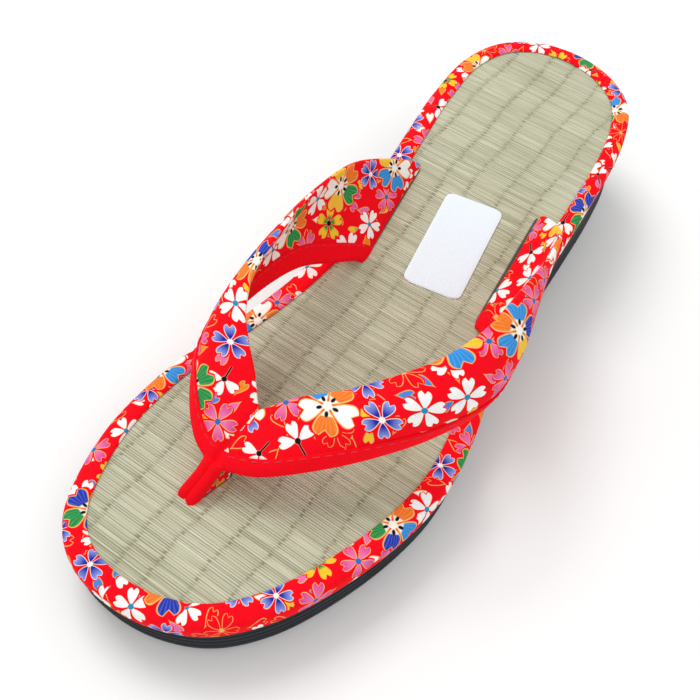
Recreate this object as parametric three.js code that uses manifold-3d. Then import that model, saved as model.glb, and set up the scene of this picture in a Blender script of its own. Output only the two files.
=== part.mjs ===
// A left zori: a woven rush footbed with a cloth-bound edge on a soft wedge sole,
// held on the foot by a wide V strap that rises from a post between the toes.
// Millimetres. X runs from heel to toe, Y to the little-toe side, Z up from the floor.

import * as THREE from "three";
import { mergeVertices } from "three/addons/utils/BufferGeometryUtils.js";
import Module from "manifold-3d";

const wasm = await Module();
wasm.setup();

// Driving dimensions
const GAP = 0.3; // clearance where two pieces meet
const TOE_HEIGHT = 19.3; // top of the rush under the toes
const HEEL_HEIGHT = 39.2; // top of the rush under the heel
const RISE_FROM = 39.4; // the wedge starts to climb here
const RISE_TO = -69.6; // and is at its full height here
const FOOTBED_THICK = 4.5;

const BAND_THICK = 0.9; // binding cloth with its padding
const BAND_WALL = 1.2; // binding on the side of the footbed

const RIB_COUNT = 4; // grooves around the side of the sole
const RIB_PITCH = 2.6;
const RIB_WIDTH = 1.3;
const RIB_DEPTH = 0.5;
const RIB_FIRST = 1.6; // first groove below the top of the sole
const RIBS_FADE = [-25, 15]; // smooth heel, ribbed forefoot
const ARCH_HEIGHT = 3; // hollow under the waist
const ARCH_SPAN = [-46, 8];
const TOE_SPRING = 3; // lift of the sole's tip
const SPRING_FROM = 96;

const STRAP_THICK = 3; // two layers of cloth over a thin pad
const TAPE_WIDTH = 0.27; // plain tape on the front edge, as a share of the strap
const TAPE_STEP = 0.35; // how far the tape stands proud of the strap
const SEAM_LAP = 1; // the two strap halves run into each other at the centre seam
const SLIT_DEPTH = 3.4; // how deep the straps and the post go into the footbed

const POST_THICK = 5.6; // the post is a flat fin
const POST_TAPE = 6; // taped front of the fin
const POST_BEVEL = 1.3;

const LABEL_LENGTH = 33.5;
const LABEL_WIDTH = 19;
const LABEL_CORNER = 2.4;
const LABEL_THICK = 0.4;
const LABEL_CENTRE = [-22.2, 6];
const LABEL_TURN = 0.14; // radians, turned a little outwards

const SAMPLES_PER_ROW = 3; // outline points between two rows of the table

// Visible edge of the rush, a row for each cross-section from toe to heel, and how far
// the binding reaches out beyond it on either side
const TOE_TIP = { at: 116.2, edge: -6, lap: 6.8 };
const HEEL_TIP = { at: -116.8, edge: -4.6, lap: 6.6 };
const EDGE_ROWS = [
  { at: 114.4, outer: 5.2, outerLap: 7, inner: -17.2, innerLap: 6.7 },
  { at: 108.8, outer: 16.2, outerLap: 7, inner: -24.6, innerLap: 6.5 },
  { at: 98.0, outer: 25.4, outerLap: 7, inner: -29.8, innerLap: 6.3 },
  { at: 83.0, outer: 32.6, outerLap: 7, inner: -33.3, innerLap: 6.1 },
  { at: 64.0, outer: 38.3, outerLap: 7, inner: -33.4, innerLap: 6.1 },
  { at: 46.0, outer: 40.4, outerLap: 7, inner: -30.6, innerLap: 6.2 },
  { at: 28.0, outer: 38.2, outerLap: 6.9, inner: -26.6, innerLap: 6.4 },
  { at: 11.0, outer: 33.8, outerLap: 6.7, inner: -22.9, innerLap: 6.7 },
  { at: -6.0, outer: 30.8, outerLap: 6.4, inner: -20.9, innerLap: 7 },
  { at: -28.0, outer: 29.5, outerLap: 5.8, inner: -21.3, innerLap: 7 },
  { at: -52.0, outer: 28.9, outerLap: 5.2, inner: -24.0, innerLap: 6.8 },
  { at: -74.0, outer: 27.2, outerLap: 5.2, inner: -27.2, innerLap: 6.5 },
  { at: -93.0, outer: 23.6, outerLap: 5.7, inner: -28.3, innerLap: 6.3 },
  { at: -106.5, outer: 17.4, outerLap: 6.5, inner: -24.4, innerLap: 6.3 },
  { at: -114.2, outer: 7.2, outerLap: 6.7, inner: -16.0, innerLap: 6.5 },
];

// Side of the sole: inset from the binding's outline, by depth from top (0) to floor (1)
const FOREFOOT_SIDE = [
  { depth: 0, inset: 1.3 },
  { depth: 0.86, inset: 1.5 },
  { depth: 1, inset: 3.4 },
];
const HEEL_SIDE = [
  { depth: 0, inset: 1.3 },
  { depth: 0.3, inset: 2.1 },
  { depth: 0.48, inset: 1.8 },
  { depth: 0.56, inset: 0.8 },
  { depth: 0.66, inset: 1.3 },
  { depth: 0.87, inset: 3.2 },
  { depth: 1, inset: 6.2 },
];
const ROUNDING_DEPTHS = [0.82, 0.9, 0.96, 1];

// Cross-sections of the straps, from the centre seam to the slit: the taped front edge,
// the rear edge, and how far the strap bows outwards between them
const INNER_STRAP = [
  { front: [81, -4.9, 27.6], rear: [65, -2, 37.5], bow: 0.4 },
  { front: [78.6, -12.2, 29], rear: [58.5, -8.6, 41.3], bow: 1.4 },
  { front: [72, -19.6, 32], rear: [53.8, -14.2, 45], bow: 2.2 },
  { front: [61, -26.4, 33.8], rear: [48.6, -19.4, 48.6], bow: 2.8 },
  { front: [46.5, -28.8, 35.2], rear: [39.5, -24, 52], bow: 3 },
  { front: [31, -27.8, 36], rear: [23, -27, 54], bow: 3 },
  { front: [17, -24.6, 35], rear: [3, -28.6, 54], bow: 3 },
  { front: [7, -20, 31.2], rear: [-18, -28.2, 49.5], bow: 2.4 },
  { front: [-2.7, -15.2, 26.2], rear: [-41.6, -19.4, 36.2], bow: 0.6 },
];
const OUTER_STRAP = [
  { front: [81, -4.9, 27.6], rear: [65, -2, 37.5], bow: 0.4 },
  { front: [78, 6.2, 29.4], rear: [58, 4.6, 40.4], bow: 1.6 },
  { front: [68, 19.4, 33], rear: [50, 15, 44.2], bow: 3 },
  { front: [56.4, 29.4, 34.4], rear: [41, 23.6, 47.8], bow: 4 },
  { front: [42.6, 38, 34.8], rear: [31.6, 31, 51.4], bow: 4.6 },
  { front: [28, 43.6, 35.2], rear: [18, 36, 54], bow: 4.8 },
  { front: [15.5, 42.4, 34.6], rear: [1, 37, 54], bow: 4.4 },
  { front: [5.5, 36.2, 31.2], rear: [-18.5, 36.4, 49.8], bow: 3 },
  { front: [1.2, 31.6, 28.6], rear: [-36, 33.2, 44.6], bow: 1.8 },
  { front: [-2.5, 27.2, 26.2], rear: [-45.4, 23.8, 36.9], bow: 0.6 },
];
const STRAP_STEPS = 30;

// Across the strap: place from front edge (0) to rear edge (1), and thickness there
const STRAP_SECTION = [
  { place: 0, thick: 0.5 },
  { place: 0.05, thick: 0.92 },
  { place: 0.14, thick: 1 },
  { place: TAPE_WIDTH, thick: 1 },
  { place: TAPE_WIDTH + 0.02, thick: 1 },
  { place: 0.5, thick: 1.1 },
  { place: 0.72, thick: 1.06 },
  { place: 0.88, thick: 1 },
  { place: 0.96, thick: 0.86 },
  { place: 1, thick: 0.45 },
];

// Side view of the post: its corners along X and Z, from the front of the seam round
const POST_CORNERS = [
  { x: 80.6, z: 27.8 },
  { x: 89.4, z: TOE_HEIGHT },
  { x: 91, z: TOE_HEIGHT - SLIT_DEPTH },
  { x: 77.5, z: TOE_HEIGHT - SLIT_DEPTH },
  { x: 76, z: 22 },
  { x: 68, z: 34.2 },
];
const POST_FRONT = [89.4, -7.3]; // where the fin's front enters the rush, seen from above
const POST_TURN = -0.214; // the fin follows the centre seam

const { lerp, smoothstep, clamp } = THREE.MathUtils;

// Height of the rush surface along the shoe
function footbedTop(x) {
  return lerp(TOE_HEIGHT, HEEL_HEIGHT, smoothstep(-x, -RISE_FROM, -RISE_TO));
}

// Height of the sole's underside: toe spring, flat forefoot, arch, flat heel
function soleBottom(x) {
  const spring = Math.max(0, (x - SPRING_FROM) / (TOE_TIP.at + TOE_TIP.lap - SPRING_FROM));
  const along = clamp((x - ARCH_SPAN[0]) / (ARCH_SPAN[1] - ARCH_SPAN[0]), 0, 1);
  return TOE_SPRING * spring ** 2 + ARCH_HEIGHT * Math.sin(Math.PI * along) ** 2;
}

function readTable(rows, key, at, value) {
  const next = rows.findIndex((row) => row[key] >= at);
  if (next <= 0) return rows[0][value];
  const [a, b] = [rows[next - 1], rows[next]];
  return lerp(a[value], b[value], (at - a[key]) / (b[key] - a[key]));
}

// The outline runs toe tip, outer side, heel tip, inner side; point k and its mirror
// (length - k) lie across the shoe from each other. Z holds the lap of the binding.
function rushEdge() {
  const tip = ({ at, edge, lap }) => new THREE.Vector3(at, edge, lap);
  const outer = EDGE_ROWS.map((row) => new THREE.Vector3(row.at, row.outer, row.outerLap));
  const inner = EDGE_ROWS.map((row) => new THREE.Vector3(row.at, row.inner, row.innerLap));
  const points = [tip(TOE_TIP), ...outer, tip(HEEL_TIP), ...inner.reverse()];
  const curve = new THREE.CatmullRomCurve3(points, true, "centripetal");
  const count = SAMPLES_PER_ROW * points.length;
  return Array.from({ length: count }, (_, k) => curve.getPoint(k / count));
}

// Moves every point of an outline outwards
function offsetOutline(points, distance) {
  return points.map((point, k) => {
    const before = points.at(k - 1);
    const after = points[(k + 1) % points.length];
    const along = new THREE.Vector2(after.x - before.x, after.y - before.y).normalize();
    const move = distance(point);
    return new THREE.Vector3(point.x + along.y * move, point.y - along.x * move, 0);
  });
}

const RUSH_EDGE = rushEdge();
const RIM = offsetOutline(RUSH_EDGE, (point) => point.z);
// Outline of the shoe, drawn in from the outside of the binding
const outlineAt = (inset) => offsetOutline(RIM, () => -inset);

function geometryFrom(vertices, faces) {
  const geometry = new THREE.BufferGeometry();
  const flat = vertices.flatMap((v) => [v.x, v.y, v.z]);
  geometry.setAttribute("position", new THREE.Float32BufferAttribute(flat, 3));
  geometry.setIndex(faces);
  return geometry;
}

// A skin over rings of equal length; the rings may close on themselves like a torus
function ringSkin(rings, closed) {
  const count = rings[0].length;
  const faces = [];
  const last = closed ? rings.length : rings.length - 1;
  for (let r = 0; r < last; r += 1) {
    const [low, high] = [r * count, ((r + 1) % rings.length) * count];
    for (let k = 0; k < count; k += 1) {
      const next = (k + 1) % count;
      faces.push(low + k, low + next, high + next, low + k, high + next, high + k);
    }
  }
  return faces;
}

// Closes a ring with strips between the points that face each other
function stripCap(start, count, flip) {
  const faces = [];
  const add = (a, b, c) => faces.push(start + a, start + (flip ? c : b), start + (flip ? b : c));
  add(0, 1, count - 1);
  for (let k = 1; k < count / 2 - 1; k += 1) {
    add(k, k + 1, count - k - 1);
    add(k, count - k - 1, count - k);
  }
  add(count / 2 - 1, count / 2, count / 2 + 1);
  return faces;
}

// A solid over rings listed from bottom to top
function stackedSolid(rings) {
  const count = rings[0].length;
  const top = (rings.length - 1) * count;
  const faces = [...ringSkin(rings, false), ...stripCap(0, count, true), ...stripCap(top, count, false)];
  return geometryFrom(rings.flat(), faces);
}

function toManifold(geometry) {
  const bare = geometry.clone();
  bare.deleteAttribute("normal");
  bare.deleteAttribute("uv");
  const merged = mergeVertices(bare);
  const vertProperties = new Float32Array(merged.attributes.position.array);
  const triVerts = new Uint32Array(merged.index.array);
  return new wasm.Manifold(new wasm.Mesh({ numProp: 3, vertProperties, triVerts }));
}

function toGeometry(manifold) {
  const mesh = manifold.getMesh();
  const geometry = new THREE.BufferGeometry();
  geometry.setAttribute("position", new THREE.BufferAttribute(mesh.vertProperties, 3));
  geometry.setIndex(new THREE.BufferAttribute(mesh.triVerts, 1));
  return geometry;
}

// Wedge sole of soft foam: ribbed forefoot, smooth heel with a flared lip
function outsole() {
  const foreHeight = TOE_HEIGHT - FOOTBED_THICK - GAP;
  const rows = [{ depth: 0, groove: 0 }];
  for (let rib = 0; rib < RIB_COUNT; rib += 1) {
    const start = RIB_FIRST + rib * RIB_PITCH;
    const lip = RIB_WIDTH / 4;
    rows.push({ depth: start / foreHeight, groove: 0 });
    rows.push({ depth: (start + lip) / foreHeight, groove: RIB_DEPTH });
    rows.push({ depth: (start + RIB_WIDTH - lip) / foreHeight, groove: RIB_DEPTH });
    rows.push({ depth: (start + RIB_WIDTH) / foreHeight, groove: 0 });
  }
  ROUNDING_DEPTHS.forEach((depth) => rows.push({ depth, groove: 0 }));
  const rings = rows.reverse().map(({ depth, groove }) => {
    const fore = outlineAt(readTable(FOREFOOT_SIDE, "depth", depth, "inset") + groove);
    const heel = outlineAt(readTable(HEEL_SIDE, "depth", depth, "inset"));
    return fore.map((point, k) => {
      const forefoot = smoothstep(RIM[k].x, ...RIBS_FADE);
      const place = heel[k].clone().lerp(point, forefoot);
      const top = footbedTop(place.x) - FOOTBED_THICK - GAP;
      return place.setZ(lerp(top, soleBottom(place.x), depth));
    });
  });
  return stackedSolid(rings);
}

// Board faced with woven rush; its rim runs on under the binding
function footbed() {
  const rim = outlineAt(BAND_WALL + GAP);
  const ringAt = (drop) => rim.map((point) => point.clone().setZ(footbedTop(point.x) - drop));
  return stackedSolid([ringAt(FOOTBED_THICK), ringAt(0)]);
}

// Folded cloth over the rim: a wall outside and a padded flap on top that ends at the rush
function binding() {
  const flapTop = GAP + BAND_THICK;
  const wall = [
    { inset: BAND_WALL, rise: GAP },
    { inset: BAND_WALL, rise: -FOOTBED_THICK },
    { inset: 0.5, rise: -FOOTBED_THICK },
    { inset: 0, rise: -FOOTBED_THICK + 1.2 },
    { inset: 0, rise: -0.9 },
    { inset: 0.5, rise: flapTop - 0.9 },
    { inset: 1.7, rise: flapTop },
  ];
  const flap = [
    { reach: 0.6, rise: flapTop + 0.15 },
    { reach: 0.88, rise: flapTop - 0.1 },
    { reach: 1, rise: GAP + 0.35 },
    { reach: 0.97, rise: GAP },
  ];
  const lift = (points, rise) => points.map((p) => new THREE.Vector3(p.x, p.y, footbedTop(p.x) + rise));
  const flapLine = (reach) => RIM.map((point, k) => point.clone().lerp(RUSH_EDGE[k], reach));
  const rings = [
    ...wall.map(({ inset, rise }) => lift(outlineAt(inset), rise)),
    ...flap.map(({ reach, rise }) => lift(flapLine(reach), rise)),
  ];
  return geometryFrom(rings.flat(), ringSkin(rings, true));
}

// One strap half as a padded band swept through its cross-sections
function strapBand(rows, side, grow) {
  const vectors = (key) => rows.map((row) => new THREE.Vector3(...row[key]));
  const lap = (points) => [points[0].clone().add(new THREE.Vector3(0, -side * SEAM_LAP, 0)), ...points];
  const sunk = (points) => [...points, points.at(-1).clone().add(new THREE.Vector3(0, 0, -SLIT_DEPTH - grow))];
  const front = new THREE.CatmullRomCurve3(sunk(lap(vectors("front"))), false, "centripetal");
  const rear = new THREE.CatmullRomCurve3(sunk(lap(vectors("rear"))), false, "centripetal");
  const bows = [rows[0].bow, ...rows.map((row) => row.bow), 0];
  const middle = (u) => front.getPoint(u).add(rear.getPoint(u)).multiplyScalar(0.5);

  const loops = Array.from({ length: STRAP_STEPS + 1 }, (_, step) => {
    const u = step / STRAP_STEPS;
    const [a, b] = [front.getPoint(u), rear.getPoint(u)];
    const across = b.clone().sub(a);
    const width = across.length();
    across.normalize();
    const along = middle(Math.min(1, u + 0.01)).sub(middle(Math.max(0, u - 0.01))).normalize();
    const out = along.clone().cross(across).multiplyScalar(side).normalize();
    const row = Math.min(bows.length - 2, Math.floor(u * (bows.length - 1)));
    const bow = lerp(bows[row], bows[row + 1], u * (bows.length - 1) - row);

    const facePoint = ({ place, thick }, face) => {
      const tape = place <= TAPE_WIDTH ? TAPE_STEP : 0;
      const half = (STRAP_THICK / 2) * thick + tape + grow;
      const slope = (4 * (1 - 2 * place) * bow) / width;
      const normal = out.clone().addScaledVector(across, -slope).normalize();
      const edge = (place === 0 ? -grow : 0) + (place === 1 ? grow : 0);
      return a.clone()
        .addScaledVector(across, place * width + edge)
        .addScaledVector(out, 4 * place * (1 - place) * bow)
        .addScaledVector(normal, face * half);
    };
    const outerFace = STRAP_SECTION.map((point) => facePoint(point, 1));
    const innerFace = STRAP_SECTION.map((point) => facePoint(point, -1)).reverse();
    return [...outerFace, ...innerFace];
  });

  const count = 2 * STRAP_SECTION.length;
  const faces = ringSkin(loops, false);
  const last = STRAP_STEPS * count;
  for (let k = 0; k < STRAP_SECTION.length - 1; k += 1) {
    const [p, q, r, s] = [k, k + 1, count - k - 2, count - k - 1];
    faces.push(p, r, q, p, s, r);
    faces.push(last + p, last + q, last + r, last + p, last + r, last + s);
  }
  if (side > 0) faces.reverse();
  return toManifold(geometryFrom(loops.flat(), faces));
}

// The post: a flat fin below the centre seam, thicker along its taped front
function post(grow) {
  const fin = (corners, thick) => {
    const shape = new THREE.Shape(corners.map(({ x, z }) => new THREE.Vector2(x - POST_FRONT[0], z)));
    const size = thick / 2 - POST_BEVEL + grow;
    const settings = {
      depth: 2 * size,
      bevelThickness: POST_BEVEL,
      bevelSize: POST_BEVEL + grow,
      bevelOffset: -POST_BEVEL,
      bevelSegments: 2,
    };
    const geometry = new THREE.ExtrudeGeometry(shape, settings);
    geometry.translate(0, 0, -size).rotateX(Math.PI / 2).rotateZ(POST_TURN);
    return toManifold(geometry.translate(POST_FRONT[0], POST_FRONT[1], 0));
  };
  const front = POST_CORNERS.slice(0, 3);
  const tapeBack = front.map(({ x, z }) => ({ x: x - POST_TAPE, z })).reverse();
  return fin(POST_CORNERS, POST_THICK).add(fin([...front, ...tapeBack], POST_THICK + 2 * TAPE_STEP));
}

// Both straps and the post are sewn into one upper
function upper(grow) {
  const inner = strapBand(INNER_STRAP, -1, grow);
  const outer = strapBand(OUTER_STRAP, 1, grow);
  return inner.add(outer).add(post(grow));
}

// Bare woven label, lying on the rush and following its slope
function label() {
  const corner = LABEL_CORNER;
  const stops = [0, 0.13, 0.5, 1].map((t) => t * corner);
  const middles = [0.25, 0.5, 0.75].map((t) => t * LABEL_LENGTH);
  const ends = [...stops].reverse().map((t) => LABEL_LENGTH - t);
  const rows = [...stops, ...middles, ...ends].map((along) => {
    const fromEnd = Math.min(along, LABEL_LENGTH - along);
    const cut = corner - Math.sqrt(Math.max(0, corner ** 2 - Math.max(0, corner - fromEnd) ** 2));
    return { along: along - LABEL_LENGTH / 2, half: LABEL_WIDTH / 2 - cut };
  });
  const place = ({ along, half }, sign, lift) => {
    const [c, s] = [Math.cos(LABEL_TURN), Math.sin(LABEL_TURN)];
    const x = LABEL_CENTRE[0] + c * along - s * half * sign;
    const y = LABEL_CENTRE[1] + s * along + c * half * sign;
    return new THREE.Vector3(x, y, footbedTop(x) + GAP + lift);
  };
  const ringAt = (lift) => [
    ...rows.map((row) => place(row, -1, lift)),
    ...[...rows].reverse().map((row) => place(row, 1, lift)),
  ];
  const rings = [ringAt(0), ringAt(LABEL_THICK)];
  const count = rings[0].length;
  const faces = ringSkin(rings, false);
  for (let k = 0; k < rows.length - 1; k += 1) {
    const [p, q, r, s] = [k, k + 1, count - k - 2, count - k - 1];
    faces.push(p, r, q, p, s, r);
    faces.push(count + p, count + q, count + r, count + p, count + r, count + s);
  }
  return geometryFrom(rings.flat(), faces);
}

function part(name, geometry, colour, roughness) {
  const material = new THREE.MeshStandardMaterial({ color: colour, roughness, metalness: 0 });
  const mesh = new THREE.Mesh(geometry, material);
  mesh.name = name;
  return mesh;
}

const passage = upper(GAP);
const shoe = new THREE.Group();
shoe.add(part("outsole", outsole(), 0x2b3038, 0.75));
shoe.add(part("tatami_footbed", toGeometry(toManifold(footbed()).subtract(passage)), 0xb5ad86, 0.8));
shoe.add(part("edge_binding", toGeometry(toManifold(binding()).subtract(passage)), 0xc8141c, 0.85));
shoe.add(part("strap_upper", toGeometry(upper(0)), 0xd3141c, 0.85));
shoe.add(part("footbed_label", label(), 0xeef0f2, 0.6));

// The origin lies on the floor under the middle of the shoe
const box = new THREE.Box3().setFromObject(shoe);
const centre = box.getCenter(new THREE.Vector3());
shoe.position.set(-centre.x, -centre.y, -box.min.z);

export default shoe;
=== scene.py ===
# %% [markdown]
# # A left zori
# A zori is a flat sandal. This one has a footbed faced with woven rush, a floral cotton
# binding round its rim, a V strap of the same cotton with plain red tape on its front
# edge, and a dark foam wedge underneath. The solids already have the right size and
# place, so this lesson dresses them: it repeats their few tables in millimetres, makes
# finer skins from them, and gives each one the material that it is really made of.

# %% load the frame
import math

import bmesh
import bpy
import numpy as np
from mathutils import Matrix, Vector


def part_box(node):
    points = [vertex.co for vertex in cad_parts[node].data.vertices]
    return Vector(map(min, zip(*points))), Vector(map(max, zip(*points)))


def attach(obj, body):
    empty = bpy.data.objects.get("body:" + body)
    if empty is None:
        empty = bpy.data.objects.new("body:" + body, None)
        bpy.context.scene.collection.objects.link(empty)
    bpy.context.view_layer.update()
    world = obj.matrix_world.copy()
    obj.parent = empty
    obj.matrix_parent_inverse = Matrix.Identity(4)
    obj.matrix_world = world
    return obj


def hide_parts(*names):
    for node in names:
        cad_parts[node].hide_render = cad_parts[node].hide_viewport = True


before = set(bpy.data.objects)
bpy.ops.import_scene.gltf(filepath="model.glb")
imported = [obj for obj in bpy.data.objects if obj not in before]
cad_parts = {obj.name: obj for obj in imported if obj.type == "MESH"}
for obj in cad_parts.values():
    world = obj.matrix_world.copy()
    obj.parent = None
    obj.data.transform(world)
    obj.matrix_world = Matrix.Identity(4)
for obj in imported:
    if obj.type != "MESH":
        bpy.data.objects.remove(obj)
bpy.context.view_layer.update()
print("solids:", sorted(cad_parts))

# %% [markdown]
# ## The outline
# A maker cuts the footbed board from a paper pattern. Here the pattern is a short table:
# for each cross-section, how far the rush reaches to the outer and the inner side, and
# how far the binding laps beyond it. A smooth curve through the rows gives the outline.

# %% outline of the rush and of the binding
MM = 0.001
rng = np.random.default_rng(11)

EDGE_ROWS = [  # along, outer edge, outer lap, inner edge, inner lap
    (114.4, 5.2, 7.0, -17.2, 6.7),
    (108.8, 16.2, 7.0, -24.6, 6.5),
    (98.0, 25.4, 7.0, -29.8, 6.3),
    (83.0, 32.6, 7.0, -33.3, 6.1),
    (64.0, 38.3, 7.0, -33.4, 6.1),
    (46.0, 40.4, 7.0, -30.6, 6.2),
    (28.0, 38.2, 6.9, -26.6, 6.4),
    (11.0, 33.8, 6.7, -22.9, 6.7),
    (-6.0, 30.8, 6.4, -20.9, 7.0),
    (-28.0, 29.5, 5.8, -21.3, 7.0),
    (-52.0, 28.9, 5.2, -24.0, 6.8),
    (-74.0, 27.2, 5.2, -27.2, 6.5),
    (-93.0, 23.6, 5.7, -28.3, 6.3),
    (-106.5, 17.4, 6.5, -24.4, 6.3),
    (-114.2, 7.2, 6.7, -16.0, 6.5),
]
TOE_TIP = (116.2, -6.0, 6.8)
HEEL_TIP = (-116.8, -4.6, 6.6)
OUTLINE_POINTS = 512


def smooth_curve(rows, count, closed=False, start=0.0):
    """Centripetal curve through the rows, at count even steps from row to row."""
    p = np.array(rows, float)
    if closed:
        ring = np.vstack([p[-1:], p, p[:2]])
    else:
        ring = np.vstack([2 * p[:1] - p[1:2], p, 2 * p[-1:] - p[-2:-1]])
    spans = len(ring) - 3
    t = np.linspace(start, spans, count, endpoint=not closed)
    k = np.minimum(t.astype(int), spans - 1)
    t = (t - k)[:, None]
    a, b, c, d = ring[k], ring[k + 1], ring[k + 2], ring[k + 3]
    e, f, g = [np.linalg.norm(v - u, axis=1)[:, None] ** 0.5 for u, v in ((a, b), (b, c), (c, d))]
    leave = ((b - a) / e - (c - a) / (e + f) + (c - b) / f) * f
    arrive = ((c - b) / f - (d - b) / (f + g) + (d - c) / g) * f
    s = t * t * (3 - 2 * t)
    return (1 - s) * b + s * c + t * (1 - t) ** 2 * leave - t * t * (1 - t) * arrive


def moved_out(points, distance):
    """An outline with every point moved outwards by a distance."""
    along = np.roll(points, -1, 0)[:, :2] - np.roll(points, 1, 0)[:, :2]
    along /= np.linalg.norm(along, axis=1)[:, None]
    normal = np.stack([along[:, 1], -along[:, 0]], 1)
    return points[:, :2] + normal * np.reshape(distance, (-1, 1))


outer_side = [(row[0], row[1], row[2]) for row in EDGE_ROWS]
inner_side = [(row[0], row[3], row[4]) for row in EDGE_ROWS]
pattern = [TOE_TIP, *outer_side, HEEL_TIP, *inner_side[::-1]]
rush_edge = smooth_curve(pattern, OUTLINE_POINTS, closed=True)
rim = moved_out(rush_edge, rush_edge[:, 2])

low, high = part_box("edge_binding")
middle = [(low[i] + high[i]) / 2 / MM for i in (0, 1)]
SHIFT = np.array([*(middle - (rim.min(0) + rim.max(0)) / 2), 0.0])
print("outline", np.ptp(rim, axis=0).round(1), "mm, moved by", SHIFT.round(2), "mm")


# %% [markdown]
# ## Heights
# From the side a zori is a long soft wedge: low and level under the toes, climbing under
# the arch of the foot, level again under the heel. One smooth step says all of that.

# %% height of the rush and of the sole's underside
TOE_HEIGHT, HEEL_HEIGHT = 19.3, 39.2
RISE_FROM, RISE_TO = 39.4, -69.6
BOARD = 4.5  # thickness of the footbed
GAP = 0.3  # clearance between the solids
ARCH_HEIGHT, ARCH_SPAN = 3.0, (-46.0, 8.0)
TOE_SPRING, SPRING_FROM = 3.0, 96.0


def step(x, start, end):
    t = np.clip((x - start) / (end - start), 0, 1)
    return t * t * (3 - 2 * t)


def rush_height(x):
    return TOE_HEIGHT + (HEEL_HEIGHT - TOE_HEIGHT) * step(-x, -RISE_FROM, -RISE_TO)


def underside(x):
    spring = np.maximum(0, (x - SPRING_FROM) / (TOE_TIP[0] + TOE_TIP[2] - SPRING_FROM))
    along = np.clip((x - ARCH_SPAN[0]) / (ARCH_SPAN[1] - ARCH_SPAN[0]), 0, 1)
    return TOE_SPRING * spring**2 + ARCH_HEIGHT * np.sin(np.pi * along) ** 2


print("rush at toe, waist, heel:", rush_height(np.array([100.0, -10.0, -100.0])).round(1))

# %% [markdown]
# ## Meshes from grids
# Sole, binding, straps and tape are all skins over rows of points, so one helper turns a
# grid of points into a piece. It also stores where each corner lies on the flat cloth, in
# millimetres, so that a print can be drawn at its real size. Straps and tape are tubes, and
# a second helper closes their ends.

# %% helper: a grid of points becomes a piece
def grid_faces(rows, cols, wrap_rows=False, wrap_cols=False):
    """Quads of a grid, and for each corner its row and column without wrapping."""
    r = np.arange(rows if wrap_rows else rows - 1)
    c = np.arange(cols if wrap_cols else cols - 1)
    r, c = [v.ravel() for v in np.meshgrid(r, c, indexing="ij")]
    corners = np.stack([np.stack([r, r, r + 1, r + 1], 1), np.stack([c, c + 1, c + 1, c], 1)], 2)
    quads = (corners[..., 0] % rows) * cols + corners[..., 1] % cols
    return quads, corners


def make_piece(name, points, faces, material, cloth=None):
    """A mesh in the row's frame that rides on the shoe; cloth is a (u, v) for each corner."""
    mesh = bpy.data.meshes.new(name)
    mesh.from_pydata(((np.asarray(points) + SHIFT) * MM).tolist(), [], [list(map(int, f)) for f in faces])
    if cloth is not None:
        layer = mesh.uv_layers.new(name="cloth_mm")
        layer.uv.foreach_set("vector", np.asarray(cloth, np.float32).ravel())
    mesh.shade_smooth()
    mesh.materials.append(material)
    piece = bpy.data.objects.new(name, mesh)
    bpy.context.scene.collection.objects.link(piece)
    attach(piece, "root")
    return piece


def mend(piece, weld=0.0001):
    """Welds points that lie within this many millimetres and turns all faces outwards."""
    bm = bmesh.new()
    bm.from_mesh(piece.data)
    bmesh.ops.remove_doubles(bm, verts=bm.verts, dist=weld * MM)
    bmesh.ops.dissolve_degenerate(bm, dist=weld * MM / 4, edges=bm.edges)
    bmesh.ops.recalc_face_normals(bm, faces=bm.faces)
    bm.to_mesh(piece.data)
    bm.free()
    piece.data.shade_smooth()


def flat_grid(along, across):
    """Places on flat cloth for a grid with these lengths along it and across it."""
    return np.stack(np.meshgrid(along, across, indexing="ij"), 2)


def tube_faces(rings, sides, first=0):
    """Faces of a tube with closed ends, and the grid corners of its long sides."""
    quads, corners = grid_faces(rings, sides, wrap_cols=True)
    last = (rings - 1) * sides
    ends = [range(sides), range(last, last + sides)]
    return [[first + k for k in face] for face in [*quads.tolist(), *ends]], corners


def make_tube(name, rings, material, flat):
    """A closed tube through rings of points; flat has one column more than a ring."""
    faces, corners = tube_faces(*rings.shape[:2])
    skin = flat[corners[..., 0], corners[..., 1]].reshape(-1, 2)
    cloth = np.vstack([skin, np.zeros((2 * rings.shape[1], 2))])
    piece = make_piece(name, rings.reshape(-1, 3), faces, material, cloth)
    mend(piece)
    print(name, len(faces), "faces")
    return piece


print("a grid of 3 by 4 points has", len(grid_faces(3, 4)[0]), "faces")


# %% [markdown]
# ## Materials: how nodes are written here
# Each material is a small network. One function adds a node, sets its options and links
# or fills its sockets in order. Colours are written as on a colour card, in hex, and one
# function turns them to the linear values that the renderer works in. Few real surfaces
# have one even tone, so a mottled start and a gloss with fine relief are shared by most.

# %% helper: colour and node
def linear(hex_colour):
    values = [int(hex_colour[i:i + 2], 16) / 255 for i in (1, 3, 5)]
    return [v / 12.92 if v <= 0.04045 else ((v + 0.055) / 1.055) ** 2.4 for v in values] + [1.0]


def fill(tree, socket, value):
    """Links a node or one of its outputs to a socket, or sets a plain value."""
    if isinstance(value, bpy.types.Node):
        value = next(out for out in value.outputs if out.enabled)
    if isinstance(value, bpy.types.NodeSocket):
        tree.links.new(value, socket)
    else:
        socket.default_value = value


def node(tree, kind, *inputs, named=None, **settings):
    """Adds a node; a second word in its kind is what it does ("Math ADD") or mixes ("Mix RGBA").

    Inputs fill its open sockets in order, named ones by name.
    """
    kind, *choice = kind.split()
    made = tree.nodes.new("ShaderNode" + kind)
    for word in choice:
        setattr(made, "data_type" if kind == "Mix" else "operation", word)
    for key, value in settings.items():
        setattr(made, key, value)
    for socket, value in zip([socket for socket in made.inputs if socket.enabled], inputs):
        fill(tree, socket, value)
    for key, value in (named or {}).items():
        fill(tree, made.inputs[key], value)
    return made


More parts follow.
